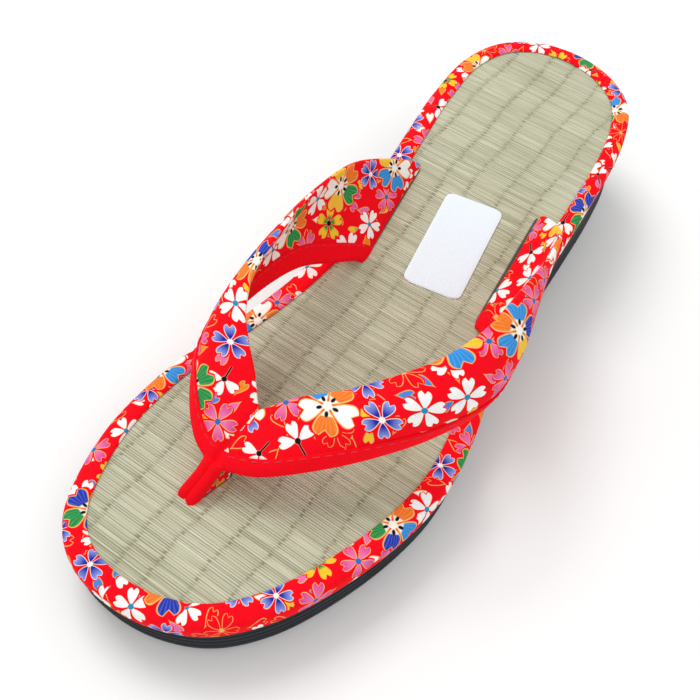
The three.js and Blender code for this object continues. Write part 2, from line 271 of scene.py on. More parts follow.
def new_material(name):
    """A bare material, its node tree and its shader."""
    material = bpy.data.materials.new(name)
    material.use_nodes = True
    print("material", name)
    return material, material.node_tree, material.node_tree.nodes["Principled BSDF"]


def set_stops(ramp, stops, interpolation="LINEAR"):
    """Fills a colour ramp from (position, hex) rows."""
    ramp.interpolation = interpolation
    while len(ramp.elements) < len(stops):
        ramp.elements.new(0.5)
    for element, (position, colour) in zip(ramp.elements, stops):
        element.position = position
        element.color = linear(colour)


MOTTLE = (0.3, 0.7)  # noise below the first is all dark, above the second all light


def mottled(name, grain_mm, detail, dark, light):
    """A new material whose two tones are mottled by a noise; gives its tone and place too."""
    material, tree, shader = new_material(name)
    place = node(tree, "TexCoord").outputs["Object"]
    noise = node(tree, "TexNoise", place, named={"Scale": 1 / (grain_mm * MM), "Detail": detail})
    tone = node(tree, "ValToRGB", noise)
    set_stops(tone.color_ramp, list(zip(MOTTLE, (dark, light))))
    return material, tree, shader, tone, place


def give_surface(tree, shader, colour, roughness, specular=0.5, relief=None):
    """Colour and gloss of a shader; relief is a height, its strength and its depth in mm."""
    fill(tree, shader.inputs["Base Color"], colour)
    shader.inputs["Roughness"].default_value = roughness
    shader.inputs["Specular IOR Level"].default_value = specular
    if relief:
        height, strength, depth = relief
        bump = node(tree, "Bump", named={"Strength": strength, "Distance": depth * MM, "Height": height})
        fill(tree, shader.inputs["Normal"], bump)


print("mid grey, #808080, is", round(linear("#808080")[0], 3), "in linear light")


# %% [markdown]
# ## Foam of the sole
# The wedge is EVA foam, moulded in a matt tool. The eye sees a blue-black that is never
# quite even, a broad dull highlight, and a fine stipple left by the mould. A picture of foam
# could be wrapped round it, but noise has no seams and keeps its size everywhere.

# %% material: moulded EVA foam
STIPPLE_MM = 0.7  # the real stipple is about 0.3 mm, drawn coarser so that it shows

foam, tree, shader, tone, place = mottled("moulded_eva_foam", 25.0, 3.0, "#171b20", "#222830")
grain = node(tree, "TexNoise", place, named={"Scale": 1 / (STIPPLE_MM * MM), "Detail": 2.0})
give_surface(tree, shader, tone, 0.7, 0.3, relief=(grain, 0.35, 0.15))

# %% [markdown]
# ## The wedge sole
# The mould gives the forefoot fine ribs and the heel a flared lip with a smooth side
# that tucks under. Each ring of the skin follows the outline, drawn in by a side profile
# that changes from forefoot to heel. The tread underneath is shallow, so it is cut into
# the same skin as low zigzag grooves.

# %% sole: side profile
FOREFOOT_SIDE = [(0, 1.3), (0.86, 1.5), (0.94, 2.1), (1, 3.4)]  # depth, inset
HEEL_SIDE = [(0, 1.3), (0.3, 2.1), (0.48, 1.8), (0.56, 0.8), (0.66, 1.3), (0.87, 3.2), (1, 6.2)]
RIB_COUNT, RIB_PITCH, RIB_WIDTH, RIB_DEPTH, RIB_FIRST = 4, 2.6, 1.3, 0.5, 1.6
RIB_ROUND = 0.7  # under 1 the bottom of a groove is round
RIBS_FADE = (-25.0, 15.0)
SIDE_ROWS = 72
NOTCH_PITCH, NOTCH_DEEP, NOTCH_FROM = 3.2, 0.35, 0.93  # serrated where the tread runs out
NOTCH_CUT = 0.2  # a notch is cut where its wave is above this

fore_height = TOE_HEIGHT - BOARD - GAP
forefoot = step(rim[:, 0], *RIBS_FADE)
walk = np.concatenate([[0], np.cumsum(np.linalg.norm(np.diff(rim, axis=0), axis=1))])
notch = NOTCH_DEEP * (np.sin(2 * np.pi * walk / NOTCH_PITCH) > NOTCH_CUT)


def profile(table, depth):
    return np.interp(depth, *np.array(table, float).T)


side_rings = []
for depth in np.linspace(0, 1, SIDE_ROWS):
    drop = depth * fore_height - RIB_FIRST
    rib = np.floor(drop / RIB_PITCH)
    within = (drop - rib * RIB_PITCH) / RIB_WIDTH
    grooved = 0 <= rib < RIB_COUNT and within < 1
    groove = RIB_DEPTH * math.sin(math.pi * within) ** RIB_ROUND if grooved else 0.0
    inset_fore = profile(FOREFOOT_SIDE, depth) + groove
    inset = (1 - forefoot) * profile(HEEL_SIDE, depth) + forefoot * inset_fore
    if depth > NOTCH_FROM:
        inset = inset + notch
    ring = moved_out(rim, -inset)
    top = rush_height(ring[:, 0]) - BOARD - GAP
    height = top + (underside(ring[:, 0]) - top) * depth
    side_rings.append(np.column_stack([ring, height]))
print("side of the sole in", len(side_rings), "rings")

# %% sole: underside with tread, and the piece
TREAD_ACROSS = 48
TREAD_PITCH, TREAD_DEPTH = 6.0, 0.9
TREAD_SWING, ZIGZAG_WIDE = 3.0, 9.0  # how far a groove swings, and how wide half a zigzag is
GROOVE_SHARE, TREAD_RIM = 0.3, 0.04  # part of the pitch that is cut, plain border
SOLE_CREASE = 50  # degrees; edges sharper than this stay crisp

half = OUTLINE_POINTS // 2


def across_the_shoe(ring, count):
    """A grid from the inner side of a ring to its outer side, a row for each pair."""
    outer = ring[: half + 1]
    inner = np.vstack([ring[:1], ring[: half - 1: -1]])
    t = np.linspace(0, 1, count)[None, :, None]
    return inner[:, None] * (1 - t) + outer[:, None] * t


tread = across_the_shoe(side_rings[-1], TREAD_ACROSS)
edge = np.minimum(np.linspace(0, 1, TREAD_ACROSS), np.linspace(1, 0, TREAD_ACROSS))[None]
swing = TREAD_SWING * np.abs((tread[..., 1] / ZIGZAG_WIDE) % 2 - 1)
phase = ((tread[..., 0] + swing) / TREAD_PITCH) % 1
cut = (phase < GROOVE_SHARE) * (edge > TREAD_RIM)
tread[..., 2] = underside(tread[..., 0]) + TREAD_DEPTH * cut
cover = across_the_shoe(side_rings[0], 3)

sole_points, sole_faces, start = [], [], 0
for block, wrap in ((np.array(side_rings), True), (tread, False), (cover, False)):
    quads, _ = grid_faces(*block.shape[:2], wrap_cols=wrap)
    sole_points.append(block.reshape(-1, 3))
    sole_faces.append(quads + start)
    start += block.shape[0] * block.shape[1]
sole = make_piece("wedge_sole", np.vstack(sole_points), np.vstack(sole_faces), foam)
mend(sole, weld=0.002)
sole.data.set_sharp_from_angle(angle=math.radians(SOLE_CREASE))
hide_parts("outsole")
print("sole faces", len(sole.data.polygons))

# %% [markdown]
# ## Rush
# Igusa rush is a round, pithy stem, just under a millimetre thick, dried to a pale grey green
# that yellows with age. Stems lie side by side across the shoe and differ a little in
# tone, and thin hemp warps bind them in rows along the shoe. The tone of each stem, with
# painted shade beside the warps and in the gaps between stems, comes with the mesh, so
# stems and colours always agree. Round each slit the cut stems lie in shadow, which the
# material paints darker by the distance from the slit's middle line.

# %% material: woven igusa rush
SLITS = {  # front and rear end of each slit, as (along, across)
    "inner": ((-5.0, -15.4), (-39.0, -19.1)),
    "outer": ((-5.0, 27.0), (-43.0, 24.0)),
    "post": ((86.0, -6.5), (78.0, -4.8)),
}
SHADE_HALF, SHADE_FADE = {"inner": 1.0, "outer": 1.3, "post": 2.7}, 0.5
FIBRE_WIDE, FIBRE_LONG, PATCH_MM = 0.35, 9.0, 30.0  # streaks on a stem, paler and darker patches
TONE_RANGE, STREAKS = (0.35, 1.65), (0.84, 1.06)  # stem and patch together, light along a streak
GAP_EDGE, GAP_SHADE_DARK, SLIT_SHADOW_DARK = 0.62, 0.95, 0.9  # height where a gap ends, how dark the painted shade in a gap and the painted shadow in a slit are

rush, tree, shader = new_material("woven_igusa_rush")
# the facing brings each stem's tone with painted shade, and a height whose low places are painted in shade
stem = node(tree, "Attribute", attribute_name="stem_tone_and_shade").outputs["Fac"]
warp = node(tree, "Attribute", attribute_name="warp_shade").outputs["Fac"]
gap = node(tree, "Attribute", attribute_name="gap_shade_height").outputs["Fac"]
place = node(tree, "TexCoord").outputs["Object"]
stretch = node(tree, "Mapping", place, named={
    "Scale": (1 / (FIBRE_WIDE * MM), 1 / (FIBRE_LONG * MM), 1.0)})
fibre = node(tree, "TexNoise", stretch, named={"Scale": 1.0, "Detail": 3.0})
patch = node(tree, "TexNoise", place, named={"Scale": 1 / (PATCH_MM * MM), "Detail": 2.0})
in_mm = node(tree, "VectorMath SCALE", place, 1 / MM)
cut_shade = 0.0
for name, (front, rear) in SLITS.items():
    start = np.array([*front, 0.0])
    line = np.array([*rear, 0.0]) - start
    from_start = node(tree, "VectorMath SUBTRACT", in_mm, tuple(start + SHIFT))
    from_start = node(tree, "VectorMath MULTIPLY", from_start, (1.0, 1.0, 0.0))
    share = node(tree, "VectorMath DOT_PRODUCT", from_start, tuple(line / (line @ line)))
    share = node(tree, "Clamp", share)
    nearest = node(tree, "VectorMath SCALE", tuple(line), share)
    away = node(tree, "VectorMath DISTANCE", from_start, nearest)
    edge = SHADE_HALF[name]
    shade = node(tree, "MapRange", away, edge, edge + SHADE_FADE, SLIT_SHADOW_DARK, 0.0)
    cut_shade = node(tree, "Math MAXIMUM", shade, cut_shade)
mixed = node(tree, "Math ADD", stem, patch)
mixed = node(tree, "MapRange", mixed, *TONE_RANGE, 0.0, 1.0)
tone = node(tree, "ValToRGB", mixed)
set_stops(tone.color_ramp, [(0.0, "#a3a183"), (0.35, "#bab99c"), (0.65, "#c7c6ab"), (1.0, "#d2d1ba")])
streak = node(tree, "MapRange", fibre, *MOTTLE, *STREAKS)
shaded = node(tree, "Mix RGBA", 1.0, tone, streak, blend_type="MULTIPLY")
# painted shade: low places between stems and under the warps are mixed towards a dark colour
deep = node(tree, "MapRange", gap, 0.0, GAP_EDGE, GAP_SHADE_DARK, 0.0)
gap_shaded = node(tree, "Mix RGBA", deep, shaded, linear("#4d472f"))
bound = node(tree, "Mix RGBA", warp, gap_shaded, linear("#837c5e"))
# painted shadow: the stems round each slit are mixed towards near black
cut = node(tree, "Mix RGBA", cut_shade, bound, linear("#241f14"))
give_surface(tree, shader, cut, 0.55, 0.35, relief=(fibre, 0.25, 0.1))

# %% [markdown]
# ## The rush facing
# The weave could be only a bump, but a low camera would show it flat. So each stem is a
# low ridge in the mesh: a few points across it, and more where a warp pulls it down.
# Stems go over and under the warps in turn, which draws the dashed rows along the shoe.

# %% rush facing: stems and warps
FACING_INSET, END_MARGIN = 2.2, 0.3  # it ends below the binding, and a little before both tips
STEM_PITCH, STEM_RISE = 0.7, 0.23
STEM_STRAY, RISE_SPREAD = 0.16, (0.8, 1.15)  # no two stems are quite alike
WARP_SPAN, WARP_PITCH, WARP_STRAY = (-52, 56), 10.4, 1.1
WARP_STEPS = [0.0, 0.5, 1.1, 3.1, 5.2, 7.3, 9.3, 9.9]  # points along a stem between two warps
TONE, TONE_BY_STEM, TONE_BY_SPAN = 0.5, 0.14, 0.1
GAP_FILL, GAP_SPREAD, GAP_MOST = 0.16, 0.26, 0.85  # how full the gap between two stems is
TIGHTNESS = (0.3, 1.0)  # how hard a warp pulls at a stem

facing_edge = moved_out(rim, np.full(OUTLINE_POINTS, -FACING_INSET))
outer_edge = facing_edge[: half + 1][::-1]
inner_edge = np.vstack([facing_edge[half:], facing_edge[:1]])
x_low, x_high = facing_edge[:, 0].min() + END_MARGIN, facing_edge[:, 0].max() - END_MARGIN
stem_count = int((x_high - x_low) / STEM_PITCH)
stray = rng.uniform(-STEM_STRAY, STEM_STRAY, stem_count + 1)
stem_edges = x_low + STEM_PITCH * (np.arange(stem_count + 1) + stray)
stem_rise = STEM_RISE * rng.uniform(*RISE_SPREAD, stem_count)

warp_lines = np.arange(*WARP_SPAN, WARP_PITCH)
warp_lines = warp_lines + rng.uniform(-WARP_STRAY, WARP_STRAY, len(warp_lines))
ys = np.sort(np.concatenate([line + np.array(WARP_STEPS) for line in warp_lines]))
nearest = np.abs(ys[:, None] - warp_lines[None]).argmin(1)
from_warp = np.abs(ys - warp_lines[nearest])

# between two warps a stem has its own tone, and lies close to the next one or apart from it
span = np.searchsorted(warp_lines, ys, side="right")
spans = len(warp_lines) + 1
stem_tones = rng.normal(TONE, TONE_BY_STEM, stem_count)[:, None]
stem_tones = stem_tones + rng.normal(0.0, TONE_BY_SPAN, (stem_count, spans))
gap_fill = np.clip(rng.normal(GAP_FILL, GAP_SPREAD, (stem_count, spans)), 0.0, GAP_MOST)
tightness = rng.uniform(*TIGHTNESS, (stem_count, len(warp_lines)))
print(stem_count, "stems bound by", len(warp_lines), "warps")

# %% rush facing: heights and tones along the stems
STEM_SHAPE = [(0.0, 0.0), (0.22, 0.85), (0.5, 1.0), (0.78, 0.85)]  # across a stem, height
WARP_HALF, OVER_DIP = 0.5, 0.25  # half a warp's width, dip of a stem that passes over it
DIP_DEEP = 0.75  # part of its height that a stem loses below a warp
PINCH_REACH = 1.0  # a warp draws the stems together, so the gaps open this far beside it
PILLOW_REACH, PILLOW_SHADE = 2.2, 0.07  # stems swell between two warps, in shade beside them
SWAY, SWAY_PITCH, SWAY_BY_STEM = 0.5, 37.0, 0.22  # a warp wanders this far off its line
FACING_LIFT = 0.02


def near_warp(reach):
    """1 on the line of a warp, fading over this reach beside it."""
    return np.exp(-((from_warp / reach) ** 2))[None]


shape_x, shape_height = np.array(STEM_SHAPE).T
ids = np.repeat(np.arange(stem_count), len(shape_x))
xs = (stem_edges[:-1, None] + shape_x * np.diff(stem_edges)[:, None]).ravel()
hs = np.tile(shape_height, stem_count)[:, None] + np.zeros(len(ys))
filled = gap_fill[ids][:, span] * (1 - near_warp(PINCH_REACH))
hs = np.where(hs == 0, filled, hs) * stem_rise[ids][:, None]
below = (ids[:, None] + nearest[None]) % 2
sway = SWAY * np.sin(2 * np.pi * xs / SWAY_PITCH) + rng.normal(0.0, SWAY_BY_STEM, stem_count)[ids]
row_ys = ys + sway[:, None]
dip = near_warp(WARP_HALF) * np.where(below == 1, 1.0, OVER_DIP) * tightness[ids][:, nearest]
tones_and_shade = stem_tones[ids][:, span] - PILLOW_SHADE * near_warp(PILLOW_REACH)

lo = np.interp(xs, inner_edge[:, 0], inner_edge[:, 1])[:, None]
hi = np.interp(xs, outer_edge[:, 0], outer_edge[:, 1])[:, None]
first, last = (row_ys <= lo).sum(1) - 1, (row_ys < hi).sum(1)
cols = np.clip(np.arange(len(ys)), first[:, None], last[:, None])  # stems end at the edge
y_grid = np.clip(np.take_along_axis(row_ys, cols, 1), lo, hi)
dip, hs = [np.take_along_axis(values, cols, 1) for values in (dip, hs)]
lift = FACING_LIFT + hs * (1 - DIP_DEEP * dip)
facing_z = rush_height(xs)[:, None] + lift
facing = np.stack([np.broadcast_to(xs[:, None], y_grid.shape), y_grid, facing_z], 2)
print("stems stand", lift.max().round(2), "mm above the board")

# %% rush facing: top, back and the piece
BACK_LIFT, BACK_VALUE = 0.005, 0.5
WARP_SHADE = 0.5
WARP_PINCH_SHADE = 0.75  # painted shade where a warp crosses a stem: how much darker the stem is there
ends = np.arange(len(xs))[:, None] * len(ys) + cols
quads, _ = grid_faces(*facing.shape[:2])
quads = ends.ravel()[quads][:, ::-1]
apart = (quads[:, 0] != quads[:, 1]).astype(int) + 2 * (quads[:, 2] != quads[:, 3])
used, where = np.unique(ends, return_inverse=True)
where = where.reshape(ends.shape)
new_number = np.zeros(ends.size, int)
new_number[used] = np.arange(len(used))
faces = new_number[quads[apart == 3]].tolist()
faces += new_number[quads[apart == 1][:, :3]].tolist() + new_number[quads[apart == 2][:, 1:]].tolist()

back_z = rush_height(xs) + BACK_LIFT
back = np.stack([np.column_stack([xs, edge[:, 0], back_z]) for edge in (lo, hi)], 1)
back_lo = len(used) + 2 * np.arange(len(xs))
back_hi = back_lo + 1
for k in range(len(xs) - 1):
    faces.append([back_lo[k], back_hi[k], back_hi[k + 1], back_lo[k + 1]])
    faces.append([where[k + 1, 0], where[k, 0], back_lo[k], back_lo[k + 1]])
    faces.append([where[k, -1], where[k + 1, -1], back_hi[k + 1], back_hi[k]])
faces.append([*np.unique(where[0]), back_hi[0], back_lo[0]])
faces.append([*np.unique(where[-1])[::-1], back_lo[-1], back_hi[-1]])
points = np.vstack([facing.reshape(-1, 3)[used], back.reshape(-1, 3)])
facing_piece = make_piece("rush_facing", points, faces, rush)
# stem tone with painted shade beside the warps, and the height that the material paints into shade
for name, values in (
    ("stem_tone_and_shade", np.clip(tones_and_shade, 0, 1)),
    ("warp_shade", WARP_SHADE * dip),
    ("gap_shade_height", hs * (1 - WARP_PINCH_SHADE * dip) / STEM_RISE),
):
    layer = facing_piece.data.attributes.new(name, "FLOAT", "POINT")
    values = np.append(values.reshape(-1)[used], np.full(2 * len(xs), BACK_VALUE))
    layer.data.foreach_set("value", values.astype(np.float32))
print("rush facing:", stem_count, "stems,", len(faces), "faces")

# %% [markdown]
# The board below keeps its solid, because its rim and slits are right already. Facing and
# binding cover it, so it needs no more than the flecked brown of pressed fibre.

# %% material: pressed fibre board
board, tree, shader, tone, _ = mottled("pressed_fibre_board", 0.8, 4.0, "#5d543c", "#8b8160")
give_surface(tree, shader, tone, 0.9)
board_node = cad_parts["tatami_footbed"]
board_node.data.materials.clear()
board_node.data.materials.append(board)
print("the board keeps", len(board_node.data.polygons), "faces of its solid")

# %% [markdown]
# ## The print
# The cotton carries a common cherry-blossom pattern on bright red: five notched petals
# round a small centre, some flowers white, some pink with a gold line, some blue fading
# to white, some with each petal in another colour, some seen from the side on a black
# stalk, and loose petals between them. It could be painted as an image. Here it is drawn
# by rule: one petal's outline, turned five times, with flowers dealt out on a slanted
# grid in millimetres on the flat cloth.

# %% print: the outline of one petal
PETAL_WIDTH = [(0.0, 0.02), (0.12, 0.06), (0.35, 0.19), (0.6, 0.29), (0.78, 0.32), (0.92, 0.27),
               (1.0, 0.15)]  # share of the way along, half the width
NOTCH_AT, NOTCH_SLOPE = 0.84, 1.3  # the tip is cut in a V


def new_group(name, inputs, outputs):
    """An empty node group with its named sockets: the tree, its input and its output node."""
    group = bpy.data.node_groups.new(name, "ShaderNodeTree")
    for way, sockets in (("INPUT", inputs), ("OUTPUT", outputs)):
        for label, kind in sockets:
            group.interface.new_socket(label, in_out=way, socket_type="NodeSocket" + kind)
    return group, group.nodes.new("NodeGroupInput"), group.nodes.new("NodeGroupOutput")


petal_group, given, result = new_group(
    "petal_outline", [("Along", "Float"), ("Across", "Float")], [("Inside", "Float")])
along, across = given.outputs["Along"], given.outputs["Across"]
width = node(petal_group, "FloatCurve", 1.0, along)
curve = width.mapping.curves[0]
for position, value in PETAL_WIDTH[1:-1]:
    curve.points.new(position, value)
curve.points[0].location = PETAL_WIDTH[0]
curve.points[-1].location = PETAL_WIDTH[-1]
width.mapping.update()
side = node(petal_group, "Math SUBTRACT", width, across)
tip = node(petal_group, "Math MULTIPLY_ADD", across, NOTCH_SLOPE, NOTCH_AT)
tip = node(petal_group, "Math SUBTRACT", tip, along)
inside = node(petal_group, "Math MINIMUM", side, tip)
fill(petal_group, result.inputs["Inside"], inside)
print("petal outline drawn with", len(curve.points), "points")

# %% [markdown]
# A flower needs the angle of each point round its centre, cut into five equal turns. In
# one turn the point has a place along the petal and across it. The number of the turn
# picks a colour where petals differ. The kind of flower is a number from 0 to 1, and
# colour strips read it: white, white from the side, pink, blue, yellow, a bare gold line,
# and many-coloured. A flower seen from the side keeps three petals and has a stalk.

# %% print: one blossom, its petals
RED = "#f90319"
GOLD = "#e3ba68"
BLACK = "#15110f"
KINDS = (0.0, 0.2, 0.38, 0.6, 0.81, 0.86, 0.92)
SIDE_KIND, YELLOW_KIND, MANY_KIND = (0.29, 0.09), (0.835, 0.025), (0.96, 0.04)  # middle, half width
PETALS = ("#fbfaf6", "#fbfaf6", "#dc4690", "#93a6f0", "#fbcb25", RED, "#ffffff")
HEARTS = ("#f3f4f4", "#f3f4f4", "#ea78ad", "#1020a0", "#2a8c3e", RED, "#f6f2e6")
LINES = ("#fff9e6", "#fff9e6", "#f0c873", "#fbf3dc", GOLD, GOLD, "#f0c873")
CENTRES = ("#2b8fb8", BLACK, "#2f6fc0", "#f7f7f2", BLACK, GOLD, "#f9f7ef")
MANY = ((0.0, "#fbfaf6"), (0.17, "#f27a1d"), (0.4, "#f7c42d"), (0.55, "#1f8f45"),
        (0.66, "#2f8fdb"), (0.82, "#2039b0"))
TURN = 2 * math.pi / 5
SIDE_TURNS = 1.5  # turns to either hand that a flower keeps when seen from the side
PETAL_EDGE, LINE_EDGE = (0.0, 0.03), (0.035, 0.06)  # soft outer and inner edge of the gold line

flower, given, result = new_group(
    "cherry_blossom", [("Place", "Vector"), ("Kind", "Float"), ("Slimness", "Float"), ("Seed", "Vector")],
    [("Color", "Color"), ("Mask", "Float"), ("Clear", "Float")])
spot, kind, slimness, seed = given.outputs[:4]
reach = node(flower, "VectorMath LENGTH", spot)
split = node(flower, "SeparateXYZ", spot)
angle = node(flower, "Math ARCTAN2", split.outputs[1], split.outputs[0])
turn = node(flower, "Math MULTIPLY_ADD", angle, 1 / TURN, 0.5)
turn = node(flower, "Math FLOOR", turn)
swing = node(flower, "Math MULTIPLY_ADD", turn, -TURN, angle)
cosine = node(flower, "Math COSINE", swing)
sine = node(flower, "Math SINE", swing)
along = node(flower, "Math MULTIPLY", reach, cosine)
across = node(flower, "Math MULTIPLY", reach, sine)
across = node(flower, "Math MULTIPLY", across, slimness)
across = node(flower, "Math ABSOLUTE", across)
inside = node(flower, "Group", along, across, node_tree=petal_group)
is_side, is_yellow, is_many = [
    node(flower, "Math COMPARE", kind, *span) for span in (SIDE_KIND, YELLOW_KIND, MANY_KIND)]
back_turn = node(flower, "Math ABSOLUTE", turn)
back_turn = node(flower, "Math GREATER_THAN", back_turn, SIDE_TURNS)
hidden = node(flower, "Math MULTIPLY", back_turn, is_side)
kept = node(flower, "Math SUBTRACT", 1.0, hidden)
petal = node(flower, "MapRange", inside, *PETAL_EDGE, 0.0, 1.0)
petal = node(flower, "Math MULTIPLY", petal, kept)
within_line = node(flower, "MapRange", inside, *LINE_EDGE, 0.0, 1.0)
print("petals laid round in turns of", round(math.degrees(TURN)), "degrees")

# %% print: one blossom, its colours
PETAL_SEED = 7.3
HEART_FROM, HEART_TO = 0.33, 0.95  # where a petal's inner colour begins to fade, and is gone
MANY_SHORTER, YELLOW_SHORTER = -0.57, -0.42
VEINS, VEIN_DEPTH = 34.0, 0.08
CENTRE_EDGE = (0.14, 0.18)

strips = []
for colours in (PETALS, HEARTS, LINES, CENTRES):
    strips.append(node(flower, "ValToRGB", kind))
    set_stops(strips[-1].color_ramp, list(zip(KINDS, colours)), "CONSTANT")
petal_strip, heart_strip, line_strip, centre_strip = strips
petal_seed = node(flower, "CombineXYZ", turn, turn, PETAL_SEED)
petal_seed = node(flower, "VectorMath ADD", petal_seed, seed)
deal = node(flower, "TexWhiteNoise", petal_seed, noise_dimensions="3D")
many = node(flower, "ValToRGB", deal)
set_stops(many.color_ramp, MANY, "CONSTANT")
body = node(flower, "Mix RGBA", is_many, petal_strip, many)
heart_end = node(flower, "Math MULTIPLY_ADD", is_many, MANY_SHORTER, HEART_TO)
heart_end = node(flower, "Math MULTIPLY_ADD", is_yellow, YELLOW_SHORTER, heart_end)
heart = node(flower, "MapRange", along, HEART_FROM, heart_end, 1.0, 0.0)
veins = node(flower, "Math MULTIPLY", swing, VEINS)
veins = node(flower, "Math SINE", veins)
veins = node(flower, "Math MULTIPLY", veins, VEIN_DEPTH)
heart = node(flower, "Math ADD", heart, veins, use_clamp=True)
body = node(flower, "Mix RGBA", heart, body, heart_strip)
body = node(flower, "Mix RGBA", within_line, line_strip, body)
centre = node(flower, "MapRange", reach, *CENTRE_EDGE, 1.0, 0.0)
body = node(flower, "Mix RGBA", centre, body, centre_strip)
print("colour strips for", len(KINDS), "kinds of flower")

# %% print: one blossom, its stamens and stalk
STAMEN_AT, STAMEN_LONG, STAMEN_WIDE = 0.29, 0.11, 0.05  # black drops on many-coloured flowers
STAMEN_EDGE = (0.8, 1.1)
STALK_HALF, STALK_END, STALK_SOFT = 0.04, -0.85, 0.03
CLEAR_EDGE, CLEAR_CENTRE = (-0.1, -0.07), (0.55, 0.6)  # rim of bare ground round a flower

from_middle = node(flower, "Math MULTIPLY_ADD", along, 1 / STAMEN_LONG, -STAMEN_AT / STAMEN_LONG)
from_axis = node(flower, "Math MULTIPLY", across, 1 / STAMEN_WIDE)
drop = node(flower, "CombineXYZ", from_middle, from_axis)
drop = node(flower, "VectorMath LENGTH", drop)
drop = node(flower, "MapRange", drop, *STAMEN_EDGE, 1.0, 0.0)
stamen = node(flower, "Math MULTIPLY", drop, is_many)
beside = node(flower, "Math ABSOLUTE", split.outputs[1])
stalk = node(flower, "MapRange", beside, STALK_HALF, STALK_HALF + STALK_SOFT, 1.0, 0.0)
stretch = node(flower, "Math COMPARE", split.outputs[0], STALK_END / 2, -STALK_END / 2)
stalk = node(flower, "Math MULTIPLY", stalk, stretch)
stalk = node(flower, "Math MULTIPLY", stalk, is_side)
black = node(flower, "Math MAXIMUM", stamen, stalk)
body = node(flower, "Mix RGBA", black, body, linear(BLACK))
mask = node(flower, "Math MAXIMUM", petal, centre)
mask = node(flower, "Math MAXIMUM", mask, stalk)
margin = node(flower, "MapRange", inside, *CLEAR_EDGE, 0.0, 1.0)
margin = node(flower, "Math MULTIPLY", margin, kept)
around = node(flower, "MapRange", reach, *CLEAR_CENTRE, 1.0, 0.0)
clear = node(flower, "Math MAXIMUM", margin, around)
for label, value in (("Color", body), ("Mask", mask), ("Clear", clear)):
    fill(flower, result.inputs[label], value)
print("blossom nodes:", len(flower.nodes))

# %% [markdown]
# The flowers are dealt out in three layers: loose petals and gold lines below, blossoms
# of the common size above them, and a few large many-coloured ones on top. Every layer
# cuts the cloth into slanted squares and puts one motif into each square, moved and
# turned by chance. A thin rim of ground keeps a large flower clear of what lies below.

# %% print: motifs dealt out on the cloth
LAYERS = [  # name, square in mm, slant, smallest and largest radius in mm, share of squares used
    ("petals", 6.4, 0.35, 2.2, 2.9, 0.85),
    ("blossoms", 10.8, 0.52, 4.5, 5.3, 0.97),
    ("large", 24.0, 0.95, 7.2, 8.3, 0.65),
]
LAYER_SHIFT, FIRST_SEED = np.array([0.37, 0.21, 0.0]), 3.0  # each layer has its own squares and draws
SHOVE = 1.9  # a motif may move through nearly all the room in its square

sheet, given, result = new_group("blossom_print", [("Cloth", "Vector")], [("Color", "Color")])
cloth_place = given.outputs["Cloth"]


def deal_motifs(number, square, slant, small, large, share):
    """One motif to a square: places on it, its seed, its draws by chance, whether it is used."""
    cell = node(sheet, "VectorRotate", cloth_place, named={"Angle": slant}, rotation_type="Z_AXIS")
    cell = node(sheet, "VectorMath SCALE", cell, 1 / square)
    cell = node(sheet, "VectorMath ADD", cell, tuple(number * LAYER_SHIFT))
    seed = node(sheet, "VectorMath FLOOR", cell)
    seed = node(sheet, "VectorMath ADD", seed, (0.0, 0.0, FIRST_SEED + number))
    spot = node(sheet, "VectorMath FRACTION", cell)
    spot = node(sheet, "VectorMath SUBTRACT", spot, (0.5, 0.5, 0.0))
    chance = node(sheet, "TexWhiteNoise", seed, noise_dimensions="3D").outputs["Color"]
    draw = node(sheet, "SeparateColor", chance).outputs
    size = node(sheet, "MapRange", draw[0], 0.0, 1.0, small / square, large / square)
    room = node(sheet, "Math SUBTRACT", 0.5, size)
    other = node(sheet, "TexWhiteNoise", chance, noise_dimensions="3D").outputs
    shove = node(sheet, "VectorMath SUBTRACT", other["Color"], (0.5, 0.5, 0.5))
    shove = node(sheet, "VectorMath SCALE", shove, room)
    shove = node(sheet, "VectorMath MULTIPLY", shove, (SHOVE, SHOVE, 0.0))
    spot = node(sheet, "VectorMath SUBTRACT", spot, shove)
    whirl = node(sheet, "Math MULTIPLY", draw[1], 2 * math.pi)
    spot = node(sheet, "VectorRotate", spot, named={"Angle": whirl}, rotation_type="Z_AXIS")
    grow = node(sheet, "Math DIVIDE", 1.0, size)
    spot = node(sheet, "VectorMath SCALE", spot, grow)
    used = node(sheet, "Math LESS_THAN", other["Value"], share)
    return spot, seed, draw, used


print("layers on the cloth:", [row[0] for row in LAYERS])

# %% print: a loose petal
LOOSE = ((0.0, "#fbfaf6"), (0.26, "#ef6db0"), (0.42, "#f58a25"), (0.55, "#f6c62e"), (0.8, "#4a86d6"))
LOOSE_YELLOW = (0.67, 0.12)  # middle and half width of yellow among the draws
LOOSE_SLIM = 0.55
LOOSE_EDGE, LOOSE_LINE = (0.0, 0.035), (0.05, 0.08)
GREEN_BASE, GREEN_MOST = (0.2, 0.5), 0.8  # a yellow petal is green at its base
BARE_FROM = 0.68  # a draw above this leaves a gold line alone


